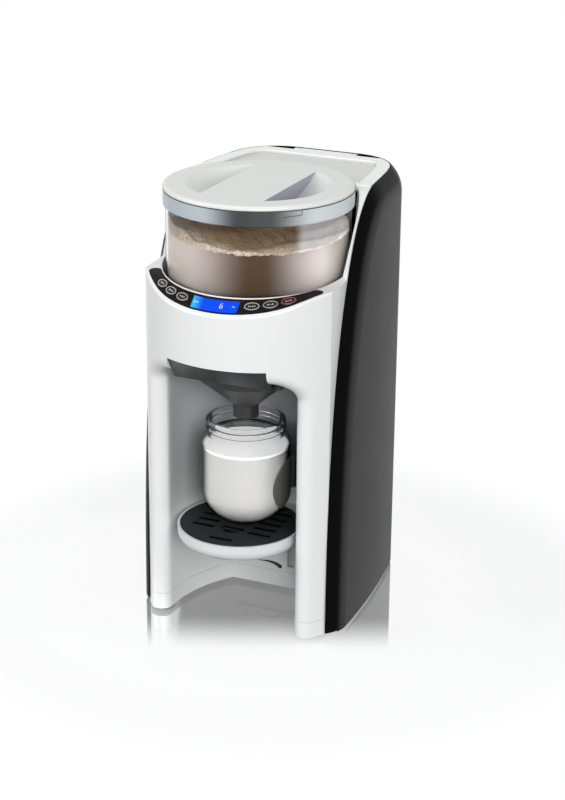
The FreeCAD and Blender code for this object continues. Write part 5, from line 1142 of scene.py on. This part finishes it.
@dataclass
class ControlPanel:
    """Rings and marks on the six buttons, and the figures in the display.

    Lengths are in mm and angles in degrees from the front. A mark is (x, y, length, width) on its button,
    a bar of the figure (x, y, half length, half width), and a sign (angle, half length, half width).
    """

    shoulder: Shoulder = field(default_factory=Shoulder)
    angles: Tuple[float, ...] = (-40.4, -30.6, -20.8, 20.8, 30.6, 40.4)
    stand: float = 0.9
    half_length: float = 6.1
    half_width: float = 3.35
    ring: float = 0.34
    rings: Tuple[str, ...] = ("ring_silver",) * 4 + ("ring_green", "ring_red")
    mark_height: float = 0.12
    figure_angle: float = 4.2
    figure_lean: float = 0.06
    figure_height: float = 0.06
    bars: Tuple[Tuple[float, float, float, float], ...] = (
        (-1.15, 1.05, 0.28, 0.95), (-1.25, -1.05, 0.28, 0.95), (1.15, -1.05, 0.28, 0.95),
        (0.0, 2.15, 1.0, 0.26), (0.0, 0.0, 1.0, 0.26), (0.0, -2.15, 1.0, 0.26))
    signs: Tuple[Place, ...] = ((-10.4, 1.2, 0.35), (-12.0, 0.5, 1.0), (11.0, 1.3, 0.35))
    marks: Tuple[Tuple[Tuple[float, float, float, float], ...], ...] = (
        ((-2.6, 0.0, 1.5, 0.8), (-0.6, 0.0, 1.6, 1.6), (1.7, 0.0, 2.2, 0.8)),
        ((-2.4, 0.0, 1.1, 1.8), (-0.9, 0.0, 1.1, 1.3), (0.7, 0.0, 1.1, 0.9), (2.3, 0.0, 1.1, 1.5)),
        ((-2.2, 0.0, 2.0, 0.8), (0.2, 0.0, 1.4, 1.7), (2.3, 0.0, 1.5, 1.1)),
        ((-2.6, 0.0, 1.0, 1.4), (-1.0, 0.0, 1.2, 0.9), (0.8, 0.0, 1.1, 1.5), (2.5, 0.0, 1.2, 0.9)),
        ((-2.1, 0.0, 1.5, 1.3), (0.1, 0.0, 1.5, 0.8), (2.1, 0.0, 1.2, 1.4)),
        ((-2.2, 0.0, 1.2, 1.3), (-0.4, 0.0, 1.5, 0.8), (1.9, 0.0, 1.7, 1.2)),
    )

    def outline(self, number: int, angle: float, finish: str, finishes: Finishes) -> bpy.types.Object:
        """Raised oval ring on a button.

        The path is an ellipse in the button's top plane; a small circle is carried along it.

        Args:
            number: The button's number.
            angle: Its place.
            finish: The ring's finish.
            finishes: All finishes.

        Returns:
            The piece.
        """
        here, along, across, out = self.shoulder.frame(angle)
        t = np.linspace(0, 2 * np.pi, 72, endpoint=False)
        path = (here + out * self.stand + self.half_length * np.cos(t)[:, None] * along
                + self.half_width * np.sin(t)[:, None] * across)
        skin = tube_surface(path, self.ring, 10, True, out)
        piece = sheet_mesh("button_ring_%d" % number, skin, True, True)
        finishes.dress(piece, finish)
        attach(piece, "button_%d" % number)
        return piece

    def pad(self, name: str, middle: np.ndarray, axes: Axes, half_x: float, half_y: float,
            height: float) -> bpy.types.Object:
        """Low rounded pad.

        Superellipse rings |x/a|^4 + |y/b|^4 = 1 shrink and rise from the rim to the middle of the top.

        Args:
            name: The piece's name.
            middle: Its middle on the surface, in mm.
            axes: Directions along, across and out.
            half_x: Half length.
            half_y: Half width.
            height: Height.

        Returns:
            The piece.
        """
        along, across, out = axes
        t = np.linspace(0, 2 * np.pi, 20, endpoint=False)
        c, s = np.cos(t), np.sin(t)
        cx, sy = np.sign(c) * np.abs(c) ** 0.5, np.sign(s) * np.abs(s) ** 0.5
        size = np.array([0.0, 1.0, 1.0, 0.86, 0.0])
        rise = np.array([-0.1, -0.1, 0.6 * height, height, height])
        flat = (half_x * size[:, None, None] * cx[None, :, None] * along
                + half_y * size[:, None, None] * sy[None, :, None] * across)
        return sheet_mesh(name, middle + flat + rise[:, None, None] * out, False, True)

    def make(self, finishes: Finishes) -> List[bpy.types.Object]:
        """Build the panel's pieces.

        Args:
            finishes: All finishes.

        Returns:
            The pieces.
        """
        pieces = []
        for number, (angle, ring, marks) in enumerate(zip(self.angles, self.rings, self.marks), start=1):
            pieces.append(self.outline(number, angle, ring, finishes))
            here, along, across, out = self.shoulder.frame(angle)
            for order, (x, y, length, width) in enumerate(marks, start=1):
                middle = here + out * self.stand + along * x + across * y
                mark = self.pad("button_mark_%d_%d" % (number, order), middle, (along, across, out),
                                length / 2, width / 2, self.mark_height)
                finishes.dress(mark, "mark_light")
                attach(mark, "button_%d" % number)
                pieces.append(mark)
        return pieces + self.figures(finishes)

    def figures(self, finishes: Finishes) -> List[bpy.types.Object]:
        """Bars of the display's figure and three small signs beside it.

        Args:
            finishes: All finishes.

        Returns:
            The pieces.
        """
        here, along, across, out = self.shoulder.frame(self.figure_angle)
        lean = across + self.figure_lean * along
        pieces = []
        for order, (x, y, half_x, half_y) in enumerate(self.bars, start=1):
            pieces.append(self.pad("display_figure_%d" % order, here + along * x + lean * y,
                                   (along, across, out), half_x, half_y, self.figure_height))
        for order, (angle, half_x, half_y) in enumerate(self.signs):
            here, along, across, out = self.shoulder.frame(angle)
            pieces.append(self.pad("display_sign_%d" % order, here, (along, across, out), half_x, half_y,
                                   self.figure_height))
        for piece in pieces:
            finishes.dress(piece, "digit_light")
            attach(piece, Body.MACHINE.value)
        return pieces


@dataclass
class PowderDrum:
    """Formula powder in the drum, the lock mark on the collar, and a ring of painted shadow in the gap
    between collar and lid; mm and degrees.
    """

    bore: float = 79.7
    skirt: float = 73.3
    floor_z: float = 312.4
    hollow_z: float = 341.0
    level_z: float = 361.0
    edge_drop: float = 12.0
    heap: float = 1.65
    rise: float = 6.0
    side_rise: float = 13.0
    middle: float = 0.38
    columns: int = 240
    rings: int = 40
    collar_radius: float = 84.2
    mark_radius: float = 0.32
    mark_corners: Tuple[Pair, ...] = ((38.6, 392.2), (38.8, 393.6), (49.6, 394.2), (50.0, 398.2))
    mark_middle: float = 44.0
    gap_shadow_radius: float = 84.0
    gap_shadow_z: float = 398.6
    gap_shadow_half: Pair = (0.35, 0.32)

    def powder(self, finishes: Finishes) -> bpy.types.Object:
        """Powder as a cap with a skirt round the stirrer.

        The top is level plus a sum of sines over x and y that makes heaps. Towards the wall it rises as
        1 - cos(angle), and at the left as sin^2(angle); the rest is a turned profile.

        Args:
            finishes: All finishes.

        Returns:
            The piece.
        """
        r_top = np.linspace(0.0, self.bore, self.rings)
        wall = np.array([[self.bore, self.level_z - self.edge_drop], [self.bore, self.floor_z],
                         [self.skirt, self.floor_z], [self.skirt, self.hollow_z], [0.0, self.hollow_z]])
        profile = np.vstack([np.stack([r_top, np.full(self.rings, self.level_z)], 1), wall])
        grid = turned_surface(profile, self.columns)
        top = grid[:self.rings]
        x, y = top[..., 0], top[..., 1]
        waves = (np.sin(x * 0.081 + 0.6) * np.cos(y * 0.067 - 0.4) + 0.5 * np.sin(x * 0.19 - y * 0.13)
                 + 0.25 * np.cos(x * 0.41 + y * 0.33) + 0.16 * np.sin(x * 0.83 - 1.0) * np.sin(y * 0.77))
        turn = np.arctan2(x, -y) - self.middle
        left = np.clip(-np.sin(turn), 0.0, 1.0) ** 2
        lift = (self.rise * (1.0 - np.cos(turn)) + self.side_rise * left) * (x * x + y * y) / self.bore ** 2
        top[..., 2] += self.heap * waves + lift
        grid[:self.rings] = top
        piece = sheet_mesh("powder_fill", grid, False, True)
        finishes.dress(piece, "formula_powder")
        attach(piece, Body.DRUM.value)
        return piece

    def lock_mark(self, finishes: Finishes) -> bpy.types.Object:
        """Thin angled lock mark round the collar.

        A thin round bar follows a path of (angle, height) corners on the collar's cylinder.

        Args:
            finishes: All finishes.

        Returns:
            The piece.
        """
        corners = np.array(self.mark_corners)
        runs = [np.linspace(corners[i], corners[i + 1], 8, endpoint=i == 2) for i in range(3)]
        angle, height = np.concatenate(runs).T
        a, middle = np.radians(angle), math.radians(self.mark_middle)
        path = np.stack([self.collar_radius * np.sin(a), -self.collar_radius * np.cos(a), height], 1)
        out = np.array([math.sin(middle), -math.cos(middle), 0.0])
        piece = sheet_mesh("lock_mark", tube_surface(path, self.mark_radius, 8, False, out), False, True)
        finishes.dress(piece, "mark_and_gap_shadow_dark")
        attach(piece, Body.DRUM.value)
        return piece

    def gap_shadow(self, finishes: Finishes) -> bpy.types.Object:
        """Thin dark ring of painted shadow in the gap between collar and lid.

        A flattened ring, r = radius + half width * cos t and z = height + half height * sin t, turned
        about the axis.

        Args:
            finishes: All finishes.

        Returns:
            The piece.
        """
        t = np.linspace(0, 2 * np.pi, 12, endpoint=False)
        half_r, half_z = self.gap_shadow_half
        ring = np.stack([self.gap_shadow_radius + half_r * np.cos(t), self.gap_shadow_z + half_z * np.sin(t)], 1)
        piece = sheet_mesh("collar_gap_shadow", turned_surface(ring, self.columns), True, True)
        # painted shadow: a dark ring in the gap under the lid's edge
        finishes.dress(piece, "mark_and_gap_shadow_dark")
        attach(piece, Body.DRUM.value)
        return piece

    def make(self, finishes: Finishes) -> List[bpy.types.Object]:
        """Build the drum's pieces.

        Args:
            finishes: All finishes.

        Returns:
            The pieces.
        """
        return [self.powder(finishes), self.lock_mark(finishes), self.gap_shadow(finishes)]


@dataclass
class Bottle:
    """Mixed formula in the bottle, and its two soft grips; mm and degrees."""

    centre_y: float = -26.0
    base_z: float = 95.1
    radius: float = 40.4
    wall: float = 1.8
    base_round: float = 29.4
    level_z: float = 168.0
    clearance: float = 0.12
    first_radius: float = 13.0
    columns: int = 144
    grip_angle: float = 96.0
    grip_half_angle: float = 34.0
    grip_z: float = 134.0
    grip_half_height: float = 24.0
    grip_edge: float = 0.15
    grip_dome: float = 0.55
    grip_sink: float = 0.25
    grip_back: float = 0.1

    def inner_radius(self, z: np.ndarray) -> np.ndarray:
        """Inside radius of the bottle's body.

        Above the base rounding it is the straight wall; within it, r = centre + sqrt(R^2 - dz^2).

        Args:
            z: Heights in mm.

        Returns:
            Radii in mm.
        """
        bend = self.base_z + self.base_round
        reach = self.base_round - self.wall
        drop = np.clip(bend - z, 0.0, reach)
        return self.radius - self.base_round + np.sqrt(reach ** 2 - drop ** 2)

    def formula(self, finishes: Finishes) -> bpy.types.Object:
        """Liquid with a raised edge where it meets the wall.

        Args:
            finishes: All finishes.

        Returns:
            The piece.
        """
        inside = self.base_z + self.wall
        z = inside + 0.25 + (self.level_z - inside) * np.linspace(0, 1, 48) ** 1.6
        r = self.inner_radius(z) - self.clearance
        r[0] = self.first_radius
        rim = r[-1]
        top = np.array([[rim, z[-1] + 0.5], [rim - 0.6, z[-1] + 0.15], [rim - 2.0, z[-1]], [rim * 0.5, z[-1]],
                        [0.0, z[-1]]])
        low = np.array([[0.0, inside + 1.1]])
        profile = np.vstack([low, np.stack([r, z], 1), top])
        grid = turned_surface(profile, self.columns, (0.0, self.centre_y))
        piece = sheet_mesh("formula_fill", grid, False, True)
        finishes.dress(piece, "mixed_formula")
        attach(piece, Body.BOTTLE.value)
        return piece

    def grip(self, finishes: Finishes, side: float) -> bpy.types.Object:
        """Oval grip that hugs the bottle's side.

        Polar grid (s, t): angle = middle + half * s cos t, height = middle + half * s sin t, radius = the
        wall plus a low dome 1 - s^6. The back is the same grid, moved in past the wall's face.

        Args:
            finishes: All finishes.
            side: +1 for the right, -1 for the left.

        Returns:
            The piece.
        """
        t = np.linspace(0, 2 * np.pi, 64, endpoint=False)
        s = np.concatenate([np.linspace(0.0, 1.0, 14), [1.0]])
        dome = self.grip_edge + self.grip_dome * (1 - np.linspace(0.0, 1.0, 14) ** 6)
        lift = np.concatenate([dome, [-self.grip_sink]])
        z = self.grip_z + self.grip_half_height * s[:, None] * np.sin(t)
        angle = np.radians(self.grip_angle + self.grip_half_angle * s[:, None] * np.cos(t))
        r = self.inner_radius(z) + self.wall + lift[:, None]
        grid = np.stack([side * r * np.sin(angle), self.centre_y - r * np.cos(angle), z], 2)
        back = grid[::-1].copy()
        flat = back - np.array([0.0, self.centre_y, 0.0])
        size = np.hypot(flat[..., 0], flat[..., 1])
        shrink = (size - lift[::-1, None] - self.grip_back) / size
        back[..., 0] = flat[..., 0] * shrink
        back[..., 1] = flat[..., 1] * shrink + self.centre_y
        piece = sheet_mesh("bottle_grip_%s" % ("right" if side > 0 else "left"), np.vstack([grid, back[1:]]),
                           False, True)
        finishes.dress(piece, "grip_grey")
        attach(piece, Body.BOTTLE.value)
        return piece

    def make(self, finishes: Finishes) -> List[bpy.types.Object]:
        """Build the bottle's pieces.

        Args:
            finishes: All finishes.

        Returns:
            The pieces.
        """
        return [self.formula(finishes), self.grip(finishes, 1.0), self.grip(finishes, -1.0)]


@dataclass
class BayWall:
    """Small dark hooked sheet of painted shade low on the bay's back wall; mm."""

    wall_y: float = 24.0
    depth: float = 0.18
    thin: float = 0.35
    growth: float = 2.1
    tail: float = 0.06
    nose: float = 0.1
    knots: Tuple[Pair, ...] = ((-10.0, 28.6), (-3.5, 29.2), (3.0, 29.3), (9.5, 27.9), (14.5, 24.6))
    sides: int = 14
    steps: int = 40

    def shade_sheet(self, finishes: Finishes) -> bpy.types.Object:
        """Curved drop of painted shade that thickens to a round end, flat on the wall.

        The centre line is a smooth curve through five points; the half width grows as s^1.5 along it and
        closes as sqrt(1 - e^2) at both ends.

        Args:
            finishes: All finishes.

        Returns:
            The piece.
        """
        knots = np.array(self.knots)
        s = np.linspace(0.0, 1.0, self.steps)
        at = np.linspace(0.0, 1.0, len(knots))
        line = np.stack([np.polyval(np.polyfit(at, knots[:, i], 4), s) for i in range(2)], 1)
        along = np.gradient(line, axis=0)
        along /= np.linalg.norm(along, axis=1, keepdims=True)
        side = np.stack([-along[:, 1], along[:, 0]], 1)
        ends = ((s - 1.0 + self.nose) / self.nose).clip(0.0) + ((self.tail - s) / self.tail).clip(0.0)
        close = np.sqrt(np.clip(1.0 - ends ** 2, 0.0, 1.0))
        half = (self.thin + self.growth * s ** 1.5) * close
        t = np.linspace(0, 2 * np.pi, self.sides, endpoint=False)
        grid = np.zeros((self.steps, self.sides, 3))
        grid[..., 0] = line[:, None, 0] + half[:, None] * side[:, None, 0] * np.cos(t)
        grid[..., 2] = line[:, None, 1] + half[:, None] * side[:, None, 1] * np.cos(t)
        grid[..., 1] = self.wall_y + self.depth * close[:, None] * np.sin(t)
        piece = sheet_mesh("wall_shade_sheet", grid, False, True)
        # painted shade: a dark sheet laid on the wall
        finishes.dress(piece, "funnel_grey")
        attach(piece, Body.MACHINE.value)
        return piece

    def make(self, finishes: Finishes) -> List[bpy.types.Object]:
        """Build the wall's pieces.

        Args:
            finishes: All finishes.

        Returns:
            The pieces.
        """
        return [self.shade_sheet(finishes)]


# ---------------------------------------------------------------- studio
@dataclass(frozen=True)
class Lamp:
    """Soft square lamp; metres and watts."""

    name: str
    place: Place
    aim: Place
    size: float
    power: float

    def hang(self) -> None:
        """Add the lamp to the scene, facing its aim."""
        data = bpy.data.lights.new(self.name, "AREA")
        data.size, data.energy = self.size, self.power
        thing = bpy.data.objects.new(self.name, data)
        thing.location = self.place
        thing.rotation_euler = (Vector(self.aim) - Vector(self.place)).to_track_quat("-Z", "Y").to_euler()
        bpy.context.scene.collection.objects.link(thing)


@dataclass(frozen=True)
class PaleFloor:
    """Pale floor: softly mirrored round the machine, with painted shadow between the legs, plain white
    further out and in front.

    Distances are in metres from the middle of the footprint, on axes turned with the camera's yaw: across
    runs to the right, and ahead runs to the front. They are fixed in the scene.
    """

    name: str = "floor_pale"
    near: Colour = (0.24, 0.24, 0.24)
    far: Colour = (0.0, 0.0, 0.0)
    mirror: Colour = (0.95, 0.95, 0.95)
    between: Colour = (0.14, 0.14, 0.15)
    far_reach: Pair = (0.20, 0.45)
    glow: Pair = (0.76, 1.0)
    left_leg: Pair = (-0.088, -0.082)
    right_leg: Pair = (0.020, 0.028)
    before: Pair = (-0.03, 0.0)
    mirror_ahead: Pair = (0.062, 0.138)
    mirror_reach: Pair = (0.16, 0.26)
    mirror_share: float = 0.74

    def material(self, yaw: float) -> bpy.types.Material:
        """Build the material: the place on the floor picks mirror or white.

        Args:
            yaw: How far the axes are turned, in radians.

        Returns:
            The material.
        """
        material, nodes, shader = new_material(self.name)
        place = nodes.add("ShaderNodeTexCoord").outputs["Object"]
        x, y, _ = nodes.coordinates()
        across = nodes.math("ADD", nodes.product(x, math.cos(yaw)), nodes.product(y, math.sin(yaw)))
        ahead = nodes.math("SUBTRACT", nodes.product(x, math.sin(yaw)), nodes.product(y, math.cos(yaw)))
        reach = nodes.add("ShaderNodeVectorMath", {0: place}, operation="LENGTH").outputs["Value"]
        far = nodes.span(reach, *self.far_reach)
        path = nodes.add("ShaderNodeLightPath").outputs
        seen = nodes.math("MAXIMUM", path["Is Camera Ray"],
                          nodes.math("MAXIMUM", path["Is Glossy Ray"], path["Is Transmission Ray"]))
        nodes.put(shader.inputs["Base Color"], nodes.mix(far, self.near, self.far))
        shader.inputs["Roughness"].default_value = 0.6
        shader.inputs["Specular IOR Level"].default_value = 0.0
        shader.inputs["Emission Color"].default_value = (1.0, 1.0, 1.0, 1.0)
        glow = nodes.product(seen, nodes.span(far, 0.0, 1.0, *self.glow))
        nodes.put(shader.inputs["Emission Strength"], glow)
        # painted shadow: the mirror is darker between the legs, under the machine
        shaded = nodes.product(nodes.span(across, *self.left_leg),
                               nodes.span(across, *self.right_leg, 1.0, 0.0), nodes.span(ahead, *self.before))
        mirror = nodes.add("ShaderNodeBsdfGlossy", {"Roughness": 0.03})
        nodes.put(mirror.inputs["Color"], nodes.mix(shaded, self.mirror, self.between))
        share = nodes.product(nodes.span(ahead, *self.mirror_ahead, self.mirror_share, 0.0),
                              nodes.span(reach, *self.mirror_reach, 1.0, 0.0))
        both = nodes.add("ShaderNodeMixShader", {0: share, 1: shader.outputs[0], 2: mirror.outputs[0]})
        nodes.put(material.node_tree.nodes["Material Output"].inputs["Surface"], both.outputs[0])
        return material


@dataclass
class Studio:
    """Pale floor, soft lights and the camera; metres and degrees."""

    yaw: float = 23.442
    pitch: float = 20.463
    roll: float = 0.545
    camera_place: Place = (0.6963, -1.5836, 0.8343)
    lens: float = 89.874
    sensor: float = 36.0
    clip: Pair = (0.05, 50.0)
    floor_half: float = 6.0
    light_colour: Colour = (0.93, 0.96, 1.0)
    seen_colour: Colour = (1.0, 1.0, 1.0)
    overhead: Pair = (0.55, 0.80)
    strength: Pair = (0.42, 1.0)
    lamps: Tuple[Lamp, ...] = (
        Lamp("key_front", (1.2, -1.8, 0.9), (0.0, -0.05, 0.2), 1.3, 42.0),
        Lamp("fill_left", (-1.6, -1.1, 0.9), (0.0, 0.0, 0.2), 1.2, 17.0),
        Lamp("top", (-0.3, 0.5, 1.9), (0.0, 0.0, 0.3), 1.4, 6.0))

    def camera(self) -> None:
        """Stand the camera and make it the scene's."""
        a, e, r = math.radians(self.yaw), math.radians(self.pitch), math.radians(self.roll)
        back = Vector((math.sin(a) * math.cos(e), -math.cos(a) * math.cos(e), math.sin(e)))
        right = Vector((math.cos(a), math.sin(a), 0.0))
        up = back.cross(right)
        across = right * math.cos(r) + up * math.sin(r)
        above = up * math.cos(r) - right * math.sin(r)
        data = bpy.data.cameras.new("camera")
        data.lens = self.lens
        data.sensor_width = self.sensor
        data.clip_start, data.clip_end = self.clip
        thing = bpy.data.objects.new("camera", data)
        bpy.context.scene.collection.objects.link(thing)
        turn = Matrix((across, above, back)).transposed().to_4x4()
        thing.matrix_world = Matrix.Translation(self.camera_place) @ turn
        bpy.context.scene.camera = thing

    def floor(self) -> None:
        """Lay the pale floor."""
        half = self.floor_half
        corners = [(-half, -half, 0), (half, -half, 0), (half, half, 0), (-half, half, 0)]
        mesh = bpy.data.meshes.new("floor")
        mesh.from_pydata(corners, [], [(0, 1, 2, 3)])
        mesh.materials.append(PaleFloor().material(math.radians(self.yaw)))
        thing = bpy.data.objects.new("floor", mesh)
        bpy.context.scene.collection.objects.link(thing)

    def world(self) -> None:
        """Soft white surroundings, full white where they are seen, and low down in reflections."""
        world = bpy.data.worlds.new("studio")
        bpy.context.scene.world = world
        world.use_nodes = True
        nodes = Nodes(world.node_tree)
        path = nodes.add("ShaderNodeLightPath").outputs
        seen = nodes.math("MAXIMUM", path["Is Camera Ray"], path["Is Transmission Ray"])
        _, _, upward = nodes.coordinates("Generated")
        low = nodes.product(nodes.span(upward, *self.overhead, 1.0, 0.0), path["Is Glossy Ray"])
        bright = nodes.math("MAXIMUM", seen, low)
        background = world.node_tree.nodes["Background"]
        nodes.put(background.inputs["Color"], nodes.mix(bright, self.light_colour, self.seen_colour))
        nodes.put(background.inputs["Strength"], nodes.span(bright, 0.0, 1.0, *self.strength))

    def make(self) -> None:
        """Build the studio."""
        self.camera()
        self.floor()
        self.world()
        for lamp in self.lamps:
            lamp.hang()
        bpy.context.scene.view_settings.view_transform = "Standard"


def main() -> None:
    """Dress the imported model, add the pieces and the studio, and report each piece."""
    logging.basicConfig(level=logging.INFO, format="%(message)s")
    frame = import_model()
    finishes = Finishes()
    for node, thing in frame["nodes"].items():
        finishes.dress(thing, NODE_FINISH.get(node, "button_black"))
        LOG.info("node %s wears %s", node, thing.data.materials[0].name)
    made: List[bpy.types.Object] = []
    for assembly in (ControlPanel(), PowderDrum(), Bottle(), BayWall()):
        made += assembly.make(finishes)
    for piece in made:
        LOG.info("piece %s has %d faces", piece.name, len(piece.data.polygons))
    Studio().make()
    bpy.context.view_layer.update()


if __name__ == "__main__":
    main()
